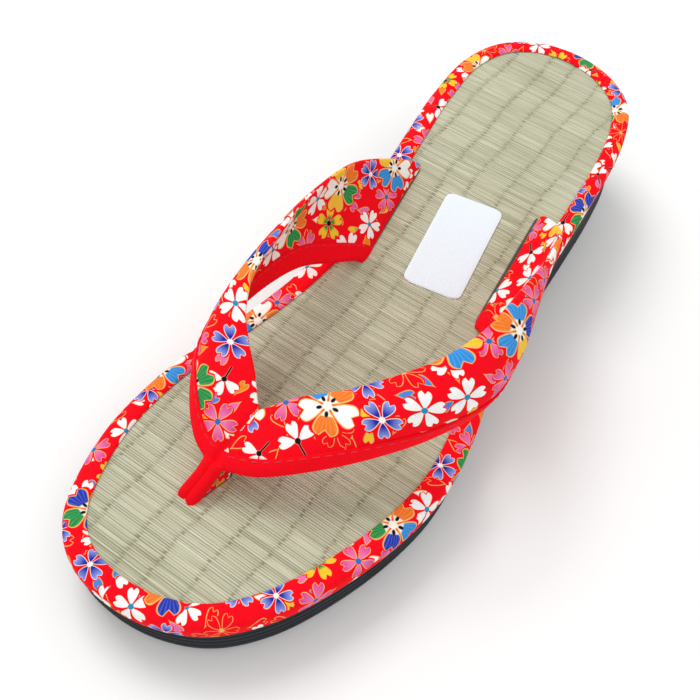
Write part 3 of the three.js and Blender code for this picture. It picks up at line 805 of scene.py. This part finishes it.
def loose_petal(spot, draw):
    """The colour and the mask of one petal that lies by itself."""
    split = node(sheet, "SeparateXYZ", spot)
    along = node(sheet, "Math MULTIPLY_ADD", split.outputs[0], 0.5, 0.5)
    across = node(sheet, "Math ABSOLUTE", split.outputs[1])
    across = node(sheet, "Math MULTIPLY", across, LOOSE_SLIM)
    shape = node(sheet, "Group", along, across, node_tree=petal_group)
    mask = node(sheet, "MapRange", shape, *LOOSE_EDGE, 0.0, 1.0)
    hollow = node(sheet, "MapRange", shape, *LOOSE_LINE, 0.0, 1.0)
    tint = node(sheet, "ValToRGB", draw[2])
    set_stops(tint.color_ramp, LOOSE, "CONSTANT")
    base = node(sheet, "MapRange", along, *GREEN_BASE, GREEN_MOST, 0.0)
    yellow = node(sheet, "Math COMPARE", draw[2], *LOOSE_YELLOW)
    base = node(sheet, "Math MULTIPLY", base, yellow)
    tint = node(sheet, "Mix RGBA", base, tint, linear("#3c9a43"))
    bare = node(sheet, "Math GREATER_THAN", draw[0], BARE_FROM)
    tint = node(sheet, "Mix RGBA", bare, tint, linear(RED))
    return node(sheet, "Mix RGBA", hollow, linear(GOLD), tint), mask


print("loose petals in", len(LOOSE), "colours")

# %% print: three layers of motifs
SLIM, BROAD = 1.0, 0.74  # petals of the common flowers and of the large ones

ground = linear(RED)
for number, (label, *layer) in enumerate(LAYERS):
    spot, seed, draw, used = deal_motifs(number, *layer)
    if label == "petals":
        paint, mask = loose_petal(spot, draw)
    else:
        kind, slim = MANY_KIND[0], BROAD
        if label == "blossoms":
            kind, slim = node(sheet, "Math MULTIPLY", draw[2], KINDS[-1]), SLIM
        bloom = node(sheet, "Group", spot, kind, slim, seed, node_tree=flower)
        paint, mask, clear = bloom.outputs
        clear = node(sheet, "Math MULTIPLY", clear, used)
        ground = node(sheet, "Mix RGBA", clear, ground, linear(RED))
    mask = node(sheet, "Math MULTIPLY", mask, used)
    ground = node(sheet, "Mix RGBA", mask, ground, paint)
fill(sheet, result.inputs["Color"], ground)
print("print nodes:", len(sheet.nodes))

# %% [markdown]
# The cloth itself is plain-woven cotton sheeting, dull and a little fuzzy. The tape is
# the same red cotton cut on the bias, without the print. Its threads run at about 0.35 mm,
# too fine for this picture, so two crossed waves draw them at 0.6 mm. The sewing thread is
# spun polyester, a deeper red with a slight gloss.

# %% materials: printed cotton, bias tape and thread
THREAD_MM = 0.6
FUZZ = 0.9  # specks of lint to a millimetre
WEAVE_LIGHT, WORN_LIGHT = (0.95, 1.03), (0.94, 1.04)
BIAS = 0.785  # an eighth of a turn
WAVE = math.pi / 10  # a wave texture of this scale repeats once in a unit


def cotton(name, printed, slant):
    """Plain-woven cotton, printed or plain red, with its threads turned by slant."""
    material, tree, shader = new_material(name)
    flat = node(tree, "UVMap", uv_map="cloth_mm")
    threads = node(tree, "VectorRotate", flat, named={"Angle": slant}, rotation_type="Z_AXIS")
    waves = [node(tree, "TexWave", threads, named={"Scale": WAVE / THREAD_MM}, wave_type="BANDS",
                  bands_direction=way).outputs["Fac"] for way in "XY"]
    weave = node(tree, "Math MULTIPLY", *waves)
    fuzz = node(tree, "TexNoise", flat, named={"Scale": FUZZ, "Detail": 3.0})
    colour = node(tree, "Group", flat, node_tree=sheet) if printed else linear(RED)
    light = node(tree, "MapRange", weave, 0.0, 1.0, *WEAVE_LIGHT)
    worn = node(tree, "MapRange", fuzz, *MOTTLE, *WORN_LIGHT)
    light = node(tree, "Math MULTIPLY", light, worn)
    shaded = node(tree, "Mix RGBA", 1.0, colour, light, blend_type="MULTIPLY")
    give_surface(tree, shader, shaded, 0.82, 0.1, relief=(weave, 0.2, 0.1))
    shader.inputs["Sheen Weight"].default_value = 0.01
    shader.inputs["Sheen Roughness"].default_value = 0.5
    return material


floral = cotton("printed_cotton_sheeting", True, 0.0)
bias = cotton("plain_red_bias_tape", False, BIAS)
thread, tree, shader, tone, _ = mottled("spun_polyester_thread", 0.5, 2.0, "#c40718", "#e4182c")
give_surface(tree, shader, tone, 0.5)

# %% [markdown]
# ## Binding
# A strip of the print is wrapped over the rim, glued below and turned under at the rush.
# It is a little padded, so its top is crowned, and on the tight curves at toe and heel
# the cloth gathers into small puckers. A curve with a bevel could draw it, but rings of the
# true section keep its fold, and let the puckers grow with the bend of the outline.

# %% binding: section and piece
WALL = [(1.2, 0.3), (1.2, -4.5), (0.6, -4.5), (0.15, -4.1), (0.0, -3.3), (0.0, -2.0), (0.04, -1.0),
        (0.22, -0.25), (0.6, 0.45), (1.2, 0.92), (2.0, 1.22)]  # inset from the rim, height
FLAP = [(0.45, 1.36), (0.6, 1.4), (0.75, 1.34), (0.87, 1.16), (0.95, 0.92), (0.99, 0.66), (1.0, 0.48),
        (0.985, 0.34), (0.96, 0.3)]  # share of the way to the rush, height
PUCKER_PITCH, PUCKER_DEPTH, LEAST_PUCKER = 4.6, 0.16, 0.04
PUCKER_DRIFT, DRIFT_PITCH = 1.3, 11.0  # puckers are not evenly spaced
BEND_REACH, BEND_MEAN = 6, 21  # outline points compared and averaged
BEND_RANGE = (0.15, 1.1)  # bend in mm where puckers begin and where they are full
TURNED_UNDER = 0.97  # share of the way where the flap turns under
BACK_WIDE = 6.0  # cloth on the hidden back of the strip

bend = np.roll(rim, -BEND_REACH, 0) - 2 * rim + np.roll(rim, BEND_REACH, 0)
bend = np.concatenate([np.linalg.norm(bend, axis=1)] * 3)
bend = np.convolve(bend, np.ones(BEND_MEAN) / BEND_MEAN, "same")[OUTLINE_POINTS: 2 * OUTLINE_POINTS]
pucker = np.sin(2 * np.pi * walk / PUCKER_PITCH + PUCKER_DRIFT * np.sin(walk / DRIFT_PITCH))
pucker *= PUCKER_DEPTH * step(bend, *BEND_RANGE) + LEAST_PUCKER
rings = []
for inset, rise in WALL:
    ring = moved_out(rim, np.full(OUTLINE_POINTS, -inset))
    rings.append(np.column_stack([ring, rush_height(ring[:, 0]) + rise]))
for reach, rise in FLAP:
    ring = rim + (rush_edge[:, :2] - rim) * reach
    crown = pucker * math.sin(math.pi * min(1.0, reach)) if reach < TURNED_UNDER else 0
    rings.append(np.column_stack([ring, rush_height(ring[:, 0]) + rise + crown]))
rings = np.array(rings)
quads, corners = grid_faces(*rings.shape[:2], wrap_rows=True, wrap_cols=True)
around = np.concatenate([[0], np.cumsum(np.linalg.norm(np.diff(rings[:, 0], axis=0), axis=1))])
around = np.append(around, around[-1] + BACK_WIDE)
lengths = np.append(walk, walk[-1] + np.linalg.norm(rim[0] - rim[-1]))
cloth = np.stack([lengths[corners[..., 1]], around[corners[..., 0]]], 2)
binding = make_piece("edge_binding_cloth", rings.reshape(-1, 3), quads, floral, cloth)
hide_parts("edge_binding")
print("binding", round(lengths[-1]), "mm round, faces", len(quads))

# %% [markdown]
# ## Straps
# Each strap half is a tube of the print round a thin pad, sewn to the other half at the
# centre seam and pushed into a slit of the footbed at its far end. It is widest where it
# stands up from the foot. A row for each cross-section gives the front edge, the rear
# edge and how far the strap bows out between them, and the skin is drawn over the rows.
# A strap is cut from flat cloth, so its two edges are also laid out flat, triangle by
# triangle with every length kept. The flat shape places the print without stretching it.

# %% strap: rows from the seam to the slit
INNER_STRAP = [  # front edge x y z, rear edge x y z, bow
    (81.0, -4.9, 27.6, 65.0, -2.0, 37.5, 0.4),
    (78.6, -12.2, 29.0, 58.5, -8.6, 41.3, 1.4),
    (72.0, -19.6, 32.0, 53.8, -14.2, 45.0, 2.2),
    (61.0, -26.4, 33.8, 48.6, -19.4, 48.6, 2.8),
    (46.5, -28.8, 35.2, 39.5, -24.0, 52.0, 3.0),
    (31.0, -27.8, 36.0, 23.0, -27.0, 54.0, 3.0),
    (17.0, -24.6, 35.0, 3.0, -28.6, 54.0, 3.0),
    (7.0, -20.0, 31.2, -18.0, -28.2, 49.5, 2.4),
    (-2.7, -15.2, 26.2, -41.6, -19.4, 36.2, 0.6),
]
OUTER_STRAP = [
    (81.0, -4.9, 27.6, 65.0, -2.0, 37.5, 0.4),
    (78.0, 6.2, 29.4, 58.0, 4.6, 40.4, 1.6),
    (68.0, 19.4, 33.0, 50.0, 15.0, 44.2, 3.0),
    (56.4, 29.4, 34.4, 41.0, 23.6, 47.8, 4.0),
    (42.6, 38.0, 34.8, 31.6, 31.0, 51.4, 4.6),
    (28.0, 43.6, 35.2, 18.0, 36.0, 54.0, 4.8),
    (15.5, 42.4, 34.6, 1.0, 37.0, 54.0, 4.4),
    (5.5, 36.2, 31.2, -18.5, 36.4, 49.8, 3.0),
    (1.2, 31.6, 28.6, -36.0, 33.2, 44.6, 1.8),
    (-2.5, 27.2, 26.2, -45.4, 23.8, 36.9, 0.6),
]
print("rows of the inner and the outer strap:", len(INNER_STRAP), len(OUTER_STRAP))


# %% strap: the bent surface and its flat shape
SEAM_LAP, SLIT_DEPTH, BOW_LOST = 1.0, 3.4, 0.6  # past the seam, down the slit, flatter there
FIRST_STEP = 0.9  # the skin begins this far on the way from the lap to the first row
STRAP_STEPS, BOW_MEAN = 190, 17
def beyond(a, b, from_a, from_b):
    """The point on the right of the way from a to b, at these distances from both."""
    run = b - a
    gap = np.linalg.norm(run)
    run = run / gap
    along = (from_a**2 - from_b**2 + gap**2) / (2 * gap)
    aside = math.sqrt(max(0.0, from_a**2 - along**2))
    return a + along * run + aside * np.array([run[1], -run[0]])


def laid_flat(front, rear):
    """Where a strap's front and rear edge lie on the flat cloth, in millimetres."""
    a, b = np.zeros(2), np.array([0.0, np.linalg.norm(rear[0] - front[0])])
    flat = [(a, b)]
    for k in range(1, len(front)):
        a = beyond(a, b, np.linalg.norm(front[k] - front[k - 1]), np.linalg.norm(front[k] - rear[k - 1]))
        b = beyond(a, b, np.linalg.norm(rear[k] - front[k]), np.linalg.norm(rear[k] - rear[k - 1]))
        flat.append((a, b))
    return np.array(flat)


class Strap:
    """The bent middle surface of one strap half, and points laid on it in millimetres."""

    def __init__(self, rows, side):
        rows = np.array(rows)
        lap = rows[:1] + np.array([0, -side * SEAM_LAP, 0, 0, -side * SEAM_LAP, 0, 0])
        sunk = rows[-1:] + np.array([0, 0, -SLIT_DEPTH, 0, 0, -SLIT_DEPTH, -BOW_LOST])
        rows = np.vstack([lap, rows, sunk])
        self.front = smooth_curve(rows[:, :3], STRAP_STEPS, start=FIRST_STEP)
        rear = smooth_curve(rows[:, 3:6], STRAP_STEPS, start=FIRST_STEP)
        steps = np.linspace(FIRST_STEP, len(rows) - 1, STRAP_STEPS)
        bow = np.interp(steps, np.arange(len(rows)), rows[:, 6])
        bow = np.pad(bow, BOW_MEAN // 2, "edge")
        self.bow = np.convolve(bow, np.ones(BOW_MEAN) / BOW_MEAN, "valid")
        self.flat = laid_flat(self.front, rear)
        self.across = rear - self.front
        self.width = np.linalg.norm(self.across, axis=1)
        self.across /= self.width[:, None]
        centre = (self.front + rear) / 2
        along = np.gradient(centre, axis=0)
        self.out = np.cross(along, self.across) * side
        self.out /= np.linalg.norm(self.out, axis=1)[:, None]
        moves = np.linalg.norm(np.diff(centre, axis=0), axis=1)
        self.length = np.concatenate([[0], np.cumsum(moves)])

    def points(self, in_from_front, off):
        """Points this far in from the front edge and this far off the middle surface."""
        share = in_from_front / self.width[:, None]
        slope = 4 * (1 - 2 * share) * self.bow[:, None] / self.width[:, None]
        normal = self.out[:, None] - slope[..., None] * self.across[:, None]
        normal /= np.linalg.norm(normal, axis=2)[..., None]
        bulge = 4 * share * (1 - share) * self.bow[:, None]
        spot = self.front[:, None] + self.across[:, None] * in_from_front[..., None]
        return spot + self.out[:, None] * bulge[..., None] + normal * off[..., None]


straps = {"inner": Strap(INNER_STRAP, -1), "outer": Strap(OUTER_STRAP, 1)}
for label, strap in straps.items():
    print(label, "strap:", strap.length[-1].round(), "mm long,", strap.width.min().round(), "mm wide")

# %% [markdown]
# The pad makes the strap plump in the middle and thin at its edges. The cloth dips at the
# centre seam, is drawn in along the tape's stitching, and has a few soft creases where
# the strap is bent. The creases are listed in a small table.

# %% strap: padded skin
PAD_HALF, PAD_ROUND = 1.6, 0.32  # half its thickness with the cloth; a low power keeps it full
TAPE_WIDE = {1: 4.8, -1: 5.9}  # on the upper face and on the lower face
STITCH_PITCH, STITCH_PULL = 3.0, 0.25
PULL, PULL_PLACE, PULL_REACH = 0.2, 0.4, 1.1  # cloth drawn in beside the tape
SEAM_DIP, SEAM_REACH = 1.1, 1.3
CREASES = {  # along the strap, in from the front edge as a share, spread in mm, depth
    "inner": [(18, 0.62, 5, -0.35), (46, 0.4, 7, -0.4), (70, 0.7, 9, 0.35), (96, 0.35, 8, -0.5),
              (118, 0.6, 8, 0.5)],
    "outer": [(16, 0.6, 5, -0.35), (40, 0.5, 8, 0.3), (66, 0.68, 7, -0.4), (92, 0.4, 8, -0.45),
              (118, 0.55, 9, 0.5)],
}
CREASE_SHARE = 0.3  # spread of a crease across the strap
SECTION_STEPS = 34
CUT_FROM = {"inner": (60.0, 80.0), "outer": (210.0, -220.0)}  # where on the printed cloth each is cut


def pad_half(share):
    return PAD_HALF * np.clip(4 * share * (1 - share), 0, 1) ** PAD_ROUND


def hump(value, spread):
    return np.exp(-((value / spread) ** 2))


def cloth_off(label, share, face):
    """How far the cloth of one face stands off the strap's middle surface."""
    strap = straps[label]
    length = strap.length[:, None]
    off = np.zeros(np.broadcast_shapes(length.shape, share.shape))
    for at, centre, spread, depth in CREASES[label]:
        off += depth * hump(length - at, spread) * hump(share - centre, CREASE_SHARE)
    off += face * pad_half(share)
    line = share * strap.width[:, None] - TAPE_WIDE[face] - PULL_PLACE
    stitched = 1 - STITCH_PULL + STITCH_PULL * np.cos(2 * np.pi * length / STITCH_PITCH)
    pull = PULL * hump(line, PULL_REACH) * stitched
    seam = SEAM_DIP * hump(length, SEAM_REACH) if face > 0 else 0.0
    return off - face * pull - seam


share = 0.5 - 0.5 * np.cos(np.linspace(0, np.pi, SECTION_STEPS))
for label, strap in straps.items():
    top_in = share[None] * strap.width[:, None]
    top = strap.points(top_in, cloth_off(label, share[None], 1))
    low = strap.points(top_in[:, -2:0:-1], cloth_off(label, share[None, -2:0:-1], -1))
    over_cloth = []
    for face in (top, np.concatenate([top[:, :1], low[:, ::-1], top[:, -1:]], 1)):
        moves = np.linalg.norm(np.diff(face, axis=1), axis=2)
        over_cloth.append(np.pad(np.cumsum(moves, axis=1), ((0, 0), (1, 0))))
    over_cloth = np.concatenate([over_cloth[0], over_cloth[1][:, -2::-1]], 1)
    cross = (strap.flat[:, 1:] - strap.flat[:, :1]) / strap.width[:, None, None]
    flat = strap.flat[:, :1] + cross * over_cloth[..., None] + CUT_FROM[label]
    skin = np.concatenate([top, low], 1)
    piece = make_tube(label + "_strap_cloth", skin, floral, flat)
    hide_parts("strap_upper")

# %% [markdown]
# ## Tape and stitching
# Plain red tape is folded over the front edge of each strap and sewn down with one line
# of stitches. It is a thin shell that follows the strap's own section, so it is made from
# the same points, moved off the cloth by its thickness. Each stitch is a short rounded
# thread that lies in the line, sunk a little at both ends.

# %% tape round the front edge
TAPE_THICK, TAPE_LIFT = 0.4, 0.04
TAPE_STEPS, TAPE_EASE = 15, 1.6  # points lie closer at the front edge
TAPE_COLUMN = 0.45  # cloth from point to point round the edge


def tape_line(label, rise):
    """A line round the front edge, from the tape's edge on top to its edge below."""
    strap = straps[label]
    places, offs, moves = [], [], []
    for face in (1, -1):
        t = np.linspace(1, 0, TAPE_STEPS) ** TAPE_EASE * TAPE_WIDE[face]
        in_from_front = np.broadcast_to(t[::face], (STRAP_STEPS, TAPE_STEPS))[:, (1 - face) // 2:]
        part = in_from_front / strap.width[:, None]
        places.append(in_from_front)
        offs.append(face * pad_half(part))
        moves.append(cloth_off(label, part, face) - offs[-1])
    line = np.stack([np.hstack(places), np.hstack(offs)], 2)
    run = np.gradient(line, axis=1)
    run /= np.linalg.norm(run, axis=2)[..., None]
    away = np.stack([run[..., 1], -run[..., 0]], 2)
    moved = line + rise * away
    return strap.points(moved[..., 0], moved[..., 1] + np.hstack(moves))


for label, strap in straps.items():
    shell = np.concatenate([tape_line(label, TAPE_THICK), tape_line(label, TAPE_LIFT)[:, ::-1]], 1)
    flat = flat_grid(strap.length, TAPE_COLUMN * np.arange(shell.shape[1] + 1))
    make_tube(label + "_strap_tape", shell, bias, flat)

# %% stitches along the tape
STITCH_LONG, STITCH_THICK, STITCH_FLAT = 2.1, 0.34, 0.8
STITCH_RINGS, STITCH_SIDES, STITCH_LIFT = 7, 8, 0.02
FROM_TAPE_EDGE, FROM_SEAM, FROM_SLIT = 0.9, 2.5, 9.0
END_THIN = 0.02  # how thin a stitch gets where it goes into the cloth


def stitch_row(label, face):
    """Points and faces of one row of stitches on a strap's upper or lower face."""
    strap = straps[label]
    in_from_front = np.full((STRAP_STEPS, 1), TAPE_WIDE[face] - FROM_TAPE_EDGE)
    part = in_from_front / strap.width[:, None]
    off = cloth_off(label, part, face) + face * (TAPE_THICK + STITCH_LIFT)
    path = strap.points(in_from_front, off)[:, 0]
    raised = strap.points(in_from_front, off + face)[:, 0] - path
    points, faces = [], []
    t = np.linspace(0, 1, STITCH_RINGS)
    swell = np.sqrt(np.clip(1 - (2 * t - 1) ** 4, END_THIN, 1))[:, None, None]
    turn = np.linspace(0, 2 * np.pi, STITCH_SIDES, endpoint=False)[:, None]
    for start in np.arange(FROM_SEAM, strap.length[-1] - FROM_SLIT, STITCH_PITCH):
        at = start + STITCH_LONG * t
        centre = np.stack([np.interp(at, strap.length, path[:, i]) for i in range(3)], 1)
        up = np.array([np.interp(start, strap.length, raised[:, i]) for i in range(3)])
        up /= np.linalg.norm(up)
        run = centre[-1] - centre[0]
        sideways = np.cross(up, run / np.linalg.norm(run))
        ring = np.cos(turn) * sideways + STITCH_FLAT * np.sin(turn) * up
        tube = centre[:, None] + ring[None] * swell * STITCH_THICK / 2
        faces += tube_faces(STITCH_RINGS, STITCH_SIDES, len(points) * STITCH_RINGS * STITCH_SIDES)[0]
        points.append(tube.reshape(-1, 3))
    return points, faces


for label in straps:
    for face, place_name in ((1, "top"), (-1, "below")):
        points, faces = stitch_row(label, face)
        name = f"{label}_stitches_{place_name}"
        mend(make_piece(name, np.vstack(points), faces, thread))
        print(name, len(points), "stitches")

# %% [markdown]
# ## Post
# Between the toes the two tapes run down side by side over the front of a flat fin, which
# shows the print at its sides and disappears into the footbed. The fin is a bevelled
# plate, and each tape is a soft roll drawn along the fin's front edge.

# %% post: the fin
FIN = [(80.6, 27.8), (89.0, 19.3), (90.6, 15.9), (77.5, 15.9), (76.0, 22.0), (68.0, 34.2)]  # side view
FIN_THICK, FIN_BEVEL, BEVEL_STEPS = 5.4, 1.1, 4
FIN_FOOT = np.array([89.4, -7.3])  # where its front meets the rush, seen from above
FIN_TURN = -0.214
FIN_CUT_FROM = (400.0, 0.0)  # where on the printed cloth it is cut

def on_fin(along, aside, height):
    """A point of the fin: its place along the shoe, off the fin's middle, and its height."""
    far = np.asarray(along) - FIN_FOOT[0]
    c, s = math.cos(FIN_TURN), math.sin(FIN_TURN)
    return np.stack([FIN_FOOT[0] + c * far - s * aside, FIN_FOOT[1] + s * far + c * aside,
                     np.broadcast_to(height, far.shape)], -1)


fin = np.array(FIN)
count = len(fin)
points = [on_fin(fin[:, 0], np.full(count, way * FIN_THICK / 2), fin[:, 1]) for way in (-1, 1)]
faces = [list(range(count)), list(range(2 * count - 1, count - 1, -1))]
faces += [[k, (k + 1) % count, count + (k + 1) % count, count + k] for k in range(count)]
cloth = fin[np.concatenate(faces) % count] + FIN_CUT_FROM
fin_piece = make_piece("post_fin", np.vstack(points), faces, floral, cloth)
mend(fin_piece)
bevel = fin_piece.modifiers.new("soft edges", "BEVEL")
bevel.width = FIN_BEVEL * MM
bevel.segments = BEVEL_STEPS
print(fin_piece.name, FIN_THICK, "mm thick")

# %% post: two rolls of tape
ROLLS = {
    "inner": [(78.0, -10.9, 29.0), (80.6, -6.6, 28.0), (82.8, -6.5, 25.9), (86.0, -7.6, 22.4),
              (88.4, -8.5, 19.6), (89.6, -8.9, 16.4)],
    "outer": [(78.0, 3.4, 29.0), (80.6, -3.3, 27.9), (83.0, -4.1, 25.6), (86.4, -5.0, 22.2),
              (88.8, -5.7, 19.5), (90.0, -6.0, 16.4)],
}
ROLL_WIDE, ROLL_DEEP, ROLL_SQUARE = 3.5, 4.0, 0.8  # a power under 1 makes the section squarer
ROLL_STEPS, ROLL_SIDES = 44, 20
ROLL_START, ROLL_GROWN = 0.4, 0.28  # size at the strap, share of the way where it is full
ROLL_ROW, ROLL_COLUMN = 0.5, 0.6  # cloth from point to point along it and round it

turn = np.linspace(0, 2 * np.pi, ROLL_SIDES, endpoint=False)
wide = np.sign(np.cos(turn)) * np.abs(np.cos(turn)) ** ROLL_SQUARE * ROLL_WIDE / 2
deep = np.sign(np.sin(turn)) * np.abs(np.sin(turn)) ** ROLL_SQUARE * ROLL_DEEP / 2
grow = ROLL_START + (1 - ROLL_START) * step(np.linspace(0, 1, ROLL_STEPS), 0.0, ROLL_GROWN)
flat = flat_grid(ROLL_ROW * np.arange(ROLL_STEPS), ROLL_COLUMN * np.arange(ROLL_SIDES + 1))
forward = np.array([math.cos(FIN_TURN), math.sin(FIN_TURN), 0.0])
for label, spots in ROLLS.items():
    path = smooth_curve(spots, ROLL_STEPS)
    run = np.gradient(path, axis=0)
    run /= np.linalg.norm(run, axis=1)[:, None]
    front = forward - (run @ forward)[:, None] * run
    front /= np.linalg.norm(front, axis=1)[:, None]
    sideways = np.cross(run, front)
    ring = sideways[:, None] * wide[None, :, None] + front[:, None] * deep[None, :, None]
    roll = path[:, None] + ring * grow[:, None, None]
    make_tube(label + "_post_tape", roll, bias, flat)

# %% [markdown]
# ## Label
# A small white woven ribbon label with rounded corners lies on the rush. It is left bare.
# Its fine ribs run across it and break up the light, and its edge is heat-cut, so it is thin
# and crisp. A flat plate would do, but a sheet with pressed edges catches a line of light.

# %% material: woven polyester ribbon
RIB_MM = 0.55  # real ribs are about half as wide, drawn coarser so that they show

ribbon, tree, shader = new_material("woven_polyester_ribbon")
flat = node(tree, "UVMap", uv_map="cloth_mm")
ribs = node(tree, "TexWave", flat, named={"Scale": WAVE / RIB_MM}, wave_type="BANDS",
            bands_direction="X").outputs["Fac"]
tone = node(tree, "ValToRGB", ribs)
set_stops(tone.color_ramp, [(0.0, "#d6e0e9"), (1.0, "#ecf4f9")])
give_surface(tree, shader, tone, 0.45, relief=(ribs, 0.3, 0.1))

# %% label
LABEL_LONG, LABEL_WIDE, LABEL_CORNER, LABEL_THICK = 33.5, 19.0, 2.4, 0.4
LABEL_CENTRE, LABEL_TURN = np.array([-22.2, 6.0]), 0.14
LABEL_ROWS, LABEL_COLS = 68, 25
LABEL_CREASE = 60  # degrees
LABEL_EDGE, LABEL_SINK = 0.12, 0.05  # its edge is pressed down, its back sinks into the rush

along = np.linspace(-LABEL_LONG / 2, LABEL_LONG / 2, LABEL_ROWS)
end = np.maximum(0, np.abs(along) - (LABEL_LONG / 2 - LABEL_CORNER))
half_wide = LABEL_WIDE / 2 - LABEL_CORNER + np.sqrt(np.maximum(0, LABEL_CORNER**2 - end**2))
shares = np.linspace(-1, 1, LABEL_COLS)
c, s = math.cos(LABEL_TURN), math.sin(LABEL_TURN)
aside = half_wide[:, None] * shares[None]
label_x = LABEL_CENTRE[0] + c * along[:, None] - s * aside
label_y = LABEL_CENTRE[1] + s * along[:, None] + c * aside
long_edges = LABEL_EDGE * (np.abs(shares) == 1)[None]
pressed = long_edges + LABEL_EDGE * (np.abs(along) == LABEL_LONG / 2)[:, None]
base = rush_height(label_x) + GAP
top = np.stack([label_x, label_y, base + LABEL_THICK - pressed], 2)
under = np.stack([label_x, label_y, base - LABEL_SINK], 2)
rows, cols = top.shape[:2]
count = rows * cols
quads, _ = grid_faces(rows, cols)
border = [*range(cols), *range(2 * cols - 1, count, cols)]
border += [*range(count - 2, count - cols - 1, -1), *range(count - 2 * cols, 0, -cols)]
walls = [[border[k - 1], border[k], border[k] + count, border[k - 1] + count] for k in range(len(border))]
flat = np.stack([np.broadcast_to(along[:, None], aside.shape), aside], 2).reshape(-1, 2)
faces = [*quads.tolist(), *(quads[:, ::-1] + count).tolist(), *walls]
cloth = flat[np.concatenate(faces) % count]
points = np.vstack([top.reshape(-1, 3), under.reshape(-1, 3)])
label_piece = make_piece("bare_label", points, faces, ribbon, cloth)
mend(label_piece)
label_piece.data.set_sharp_from_angle(angle=math.radians(LABEL_CREASE))
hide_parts("footbed_label")
print("label", LABEL_LONG, "by", LABEL_WIDE, "mm")

# %% [markdown]
# ## Floor, light and camera
# A product table: a sheet of matt white paper, which takes a soft shadow and has no shine,
# a large soft light high on the heel and inner side, and white surroundings that fill the
# shadows. The camera stands where the photographer's did, found from the shoe's outline. It
# is turned a little and given a longer lens, so that the shoe fills the picture.

# %% floor
FLOOR_REACH, FLOOR_DROP = 6.0, 2e-4  # in metres; the drop keeps the floor clear of the sole

paper, tree, shader, tone, _ = mottled("matt_white_paper", 250.0, 2.0, "#f4f4f3", "#f8f8f7")
give_surface(tree, shader, tone, 0.9)
floor_mesh = bpy.data.meshes.new("floor")
corners = [(x * FLOOR_REACH, y * FLOOR_REACH, -FLOOR_DROP) for x, y in ((-1, -1), (1, -1), (1, 1), (-1, 1))]
floor_mesh.from_pydata(corners, [], [(0, 1, 2, 3)])
floor_mesh.materials.append(paper)
floor = bpy.data.objects.new("floor", floor_mesh)
bpy.context.scene.collection.objects.link(floor)
print("floor", 2 * FLOOR_REACH, "m wide")

# %% light
ROOM_LIGHT = 0.8

world = bpy.data.worlds.new("white room")
bpy.context.scene.world = world
world.use_nodes = True
background = world.node_tree.nodes["Background"].inputs
background["Color"].default_value = (1.0, 1.0, 1.0, 1.0)
background["Strength"].default_value = ROOM_LIGHT


def softbox(name, spot, size, power):
    lamp = bpy.data.lights.new(name, "AREA")
    lamp.size = size
    lamp.energy = power
    box = bpy.data.objects.new(name, lamp)
    box.location = spot
    box.rotation_euler = (-Vector(spot)).to_track_quat("-Z", "Y").to_euler()
    bpy.context.scene.collection.objects.link(box)
    print(name, power, "W")


softbox("key", (-0.25, -0.75, 1.25), 0.7, 9.0)
softbox("fill", (0.8, 0.7, 1.0), 1.2, 2.0)
bpy.context.scene.view_settings.view_transform = "Standard"

# %% camera
CAMERA_SPOT = np.array([173.8, 83.7, 253.1])
LENS, SENSOR, NEAR = 50.0, 36.0, 0.01
FORWARD = Vector((-0.5124, -0.4015, -0.7591))
RIGHT = Vector((-0.6168, 0.7871, 0.0))
AIM = (0.092, -0.078)  # to the right and up, for each unit forward

lens = bpy.data.cameras.new("camera")
lens.sensor_width = SENSOR
lens.lens = LENS
lens.clip_start = NEAR
camera = bpy.data.objects.new("camera", lens)
up = RIGHT.cross(FORWARD)
turn = Matrix((RIGHT.normalized(), up.normalized(), -FORWARD.normalized())).transposed()
aim = FORWARD + AIM[0] * RIGHT + AIM[1] * up
turn = FORWARD.rotation_difference(aim).to_matrix() @ turn
camera.matrix_world = Matrix.Translation(Vector((CAMERA_SPOT + SHIFT) * MM)) @ turn.to_4x4()
bpy.context.scene.collection.objects.link(camera)
bpy.context.scene.camera = camera
print("camera at", [round(v, 3) for v in camera.location])
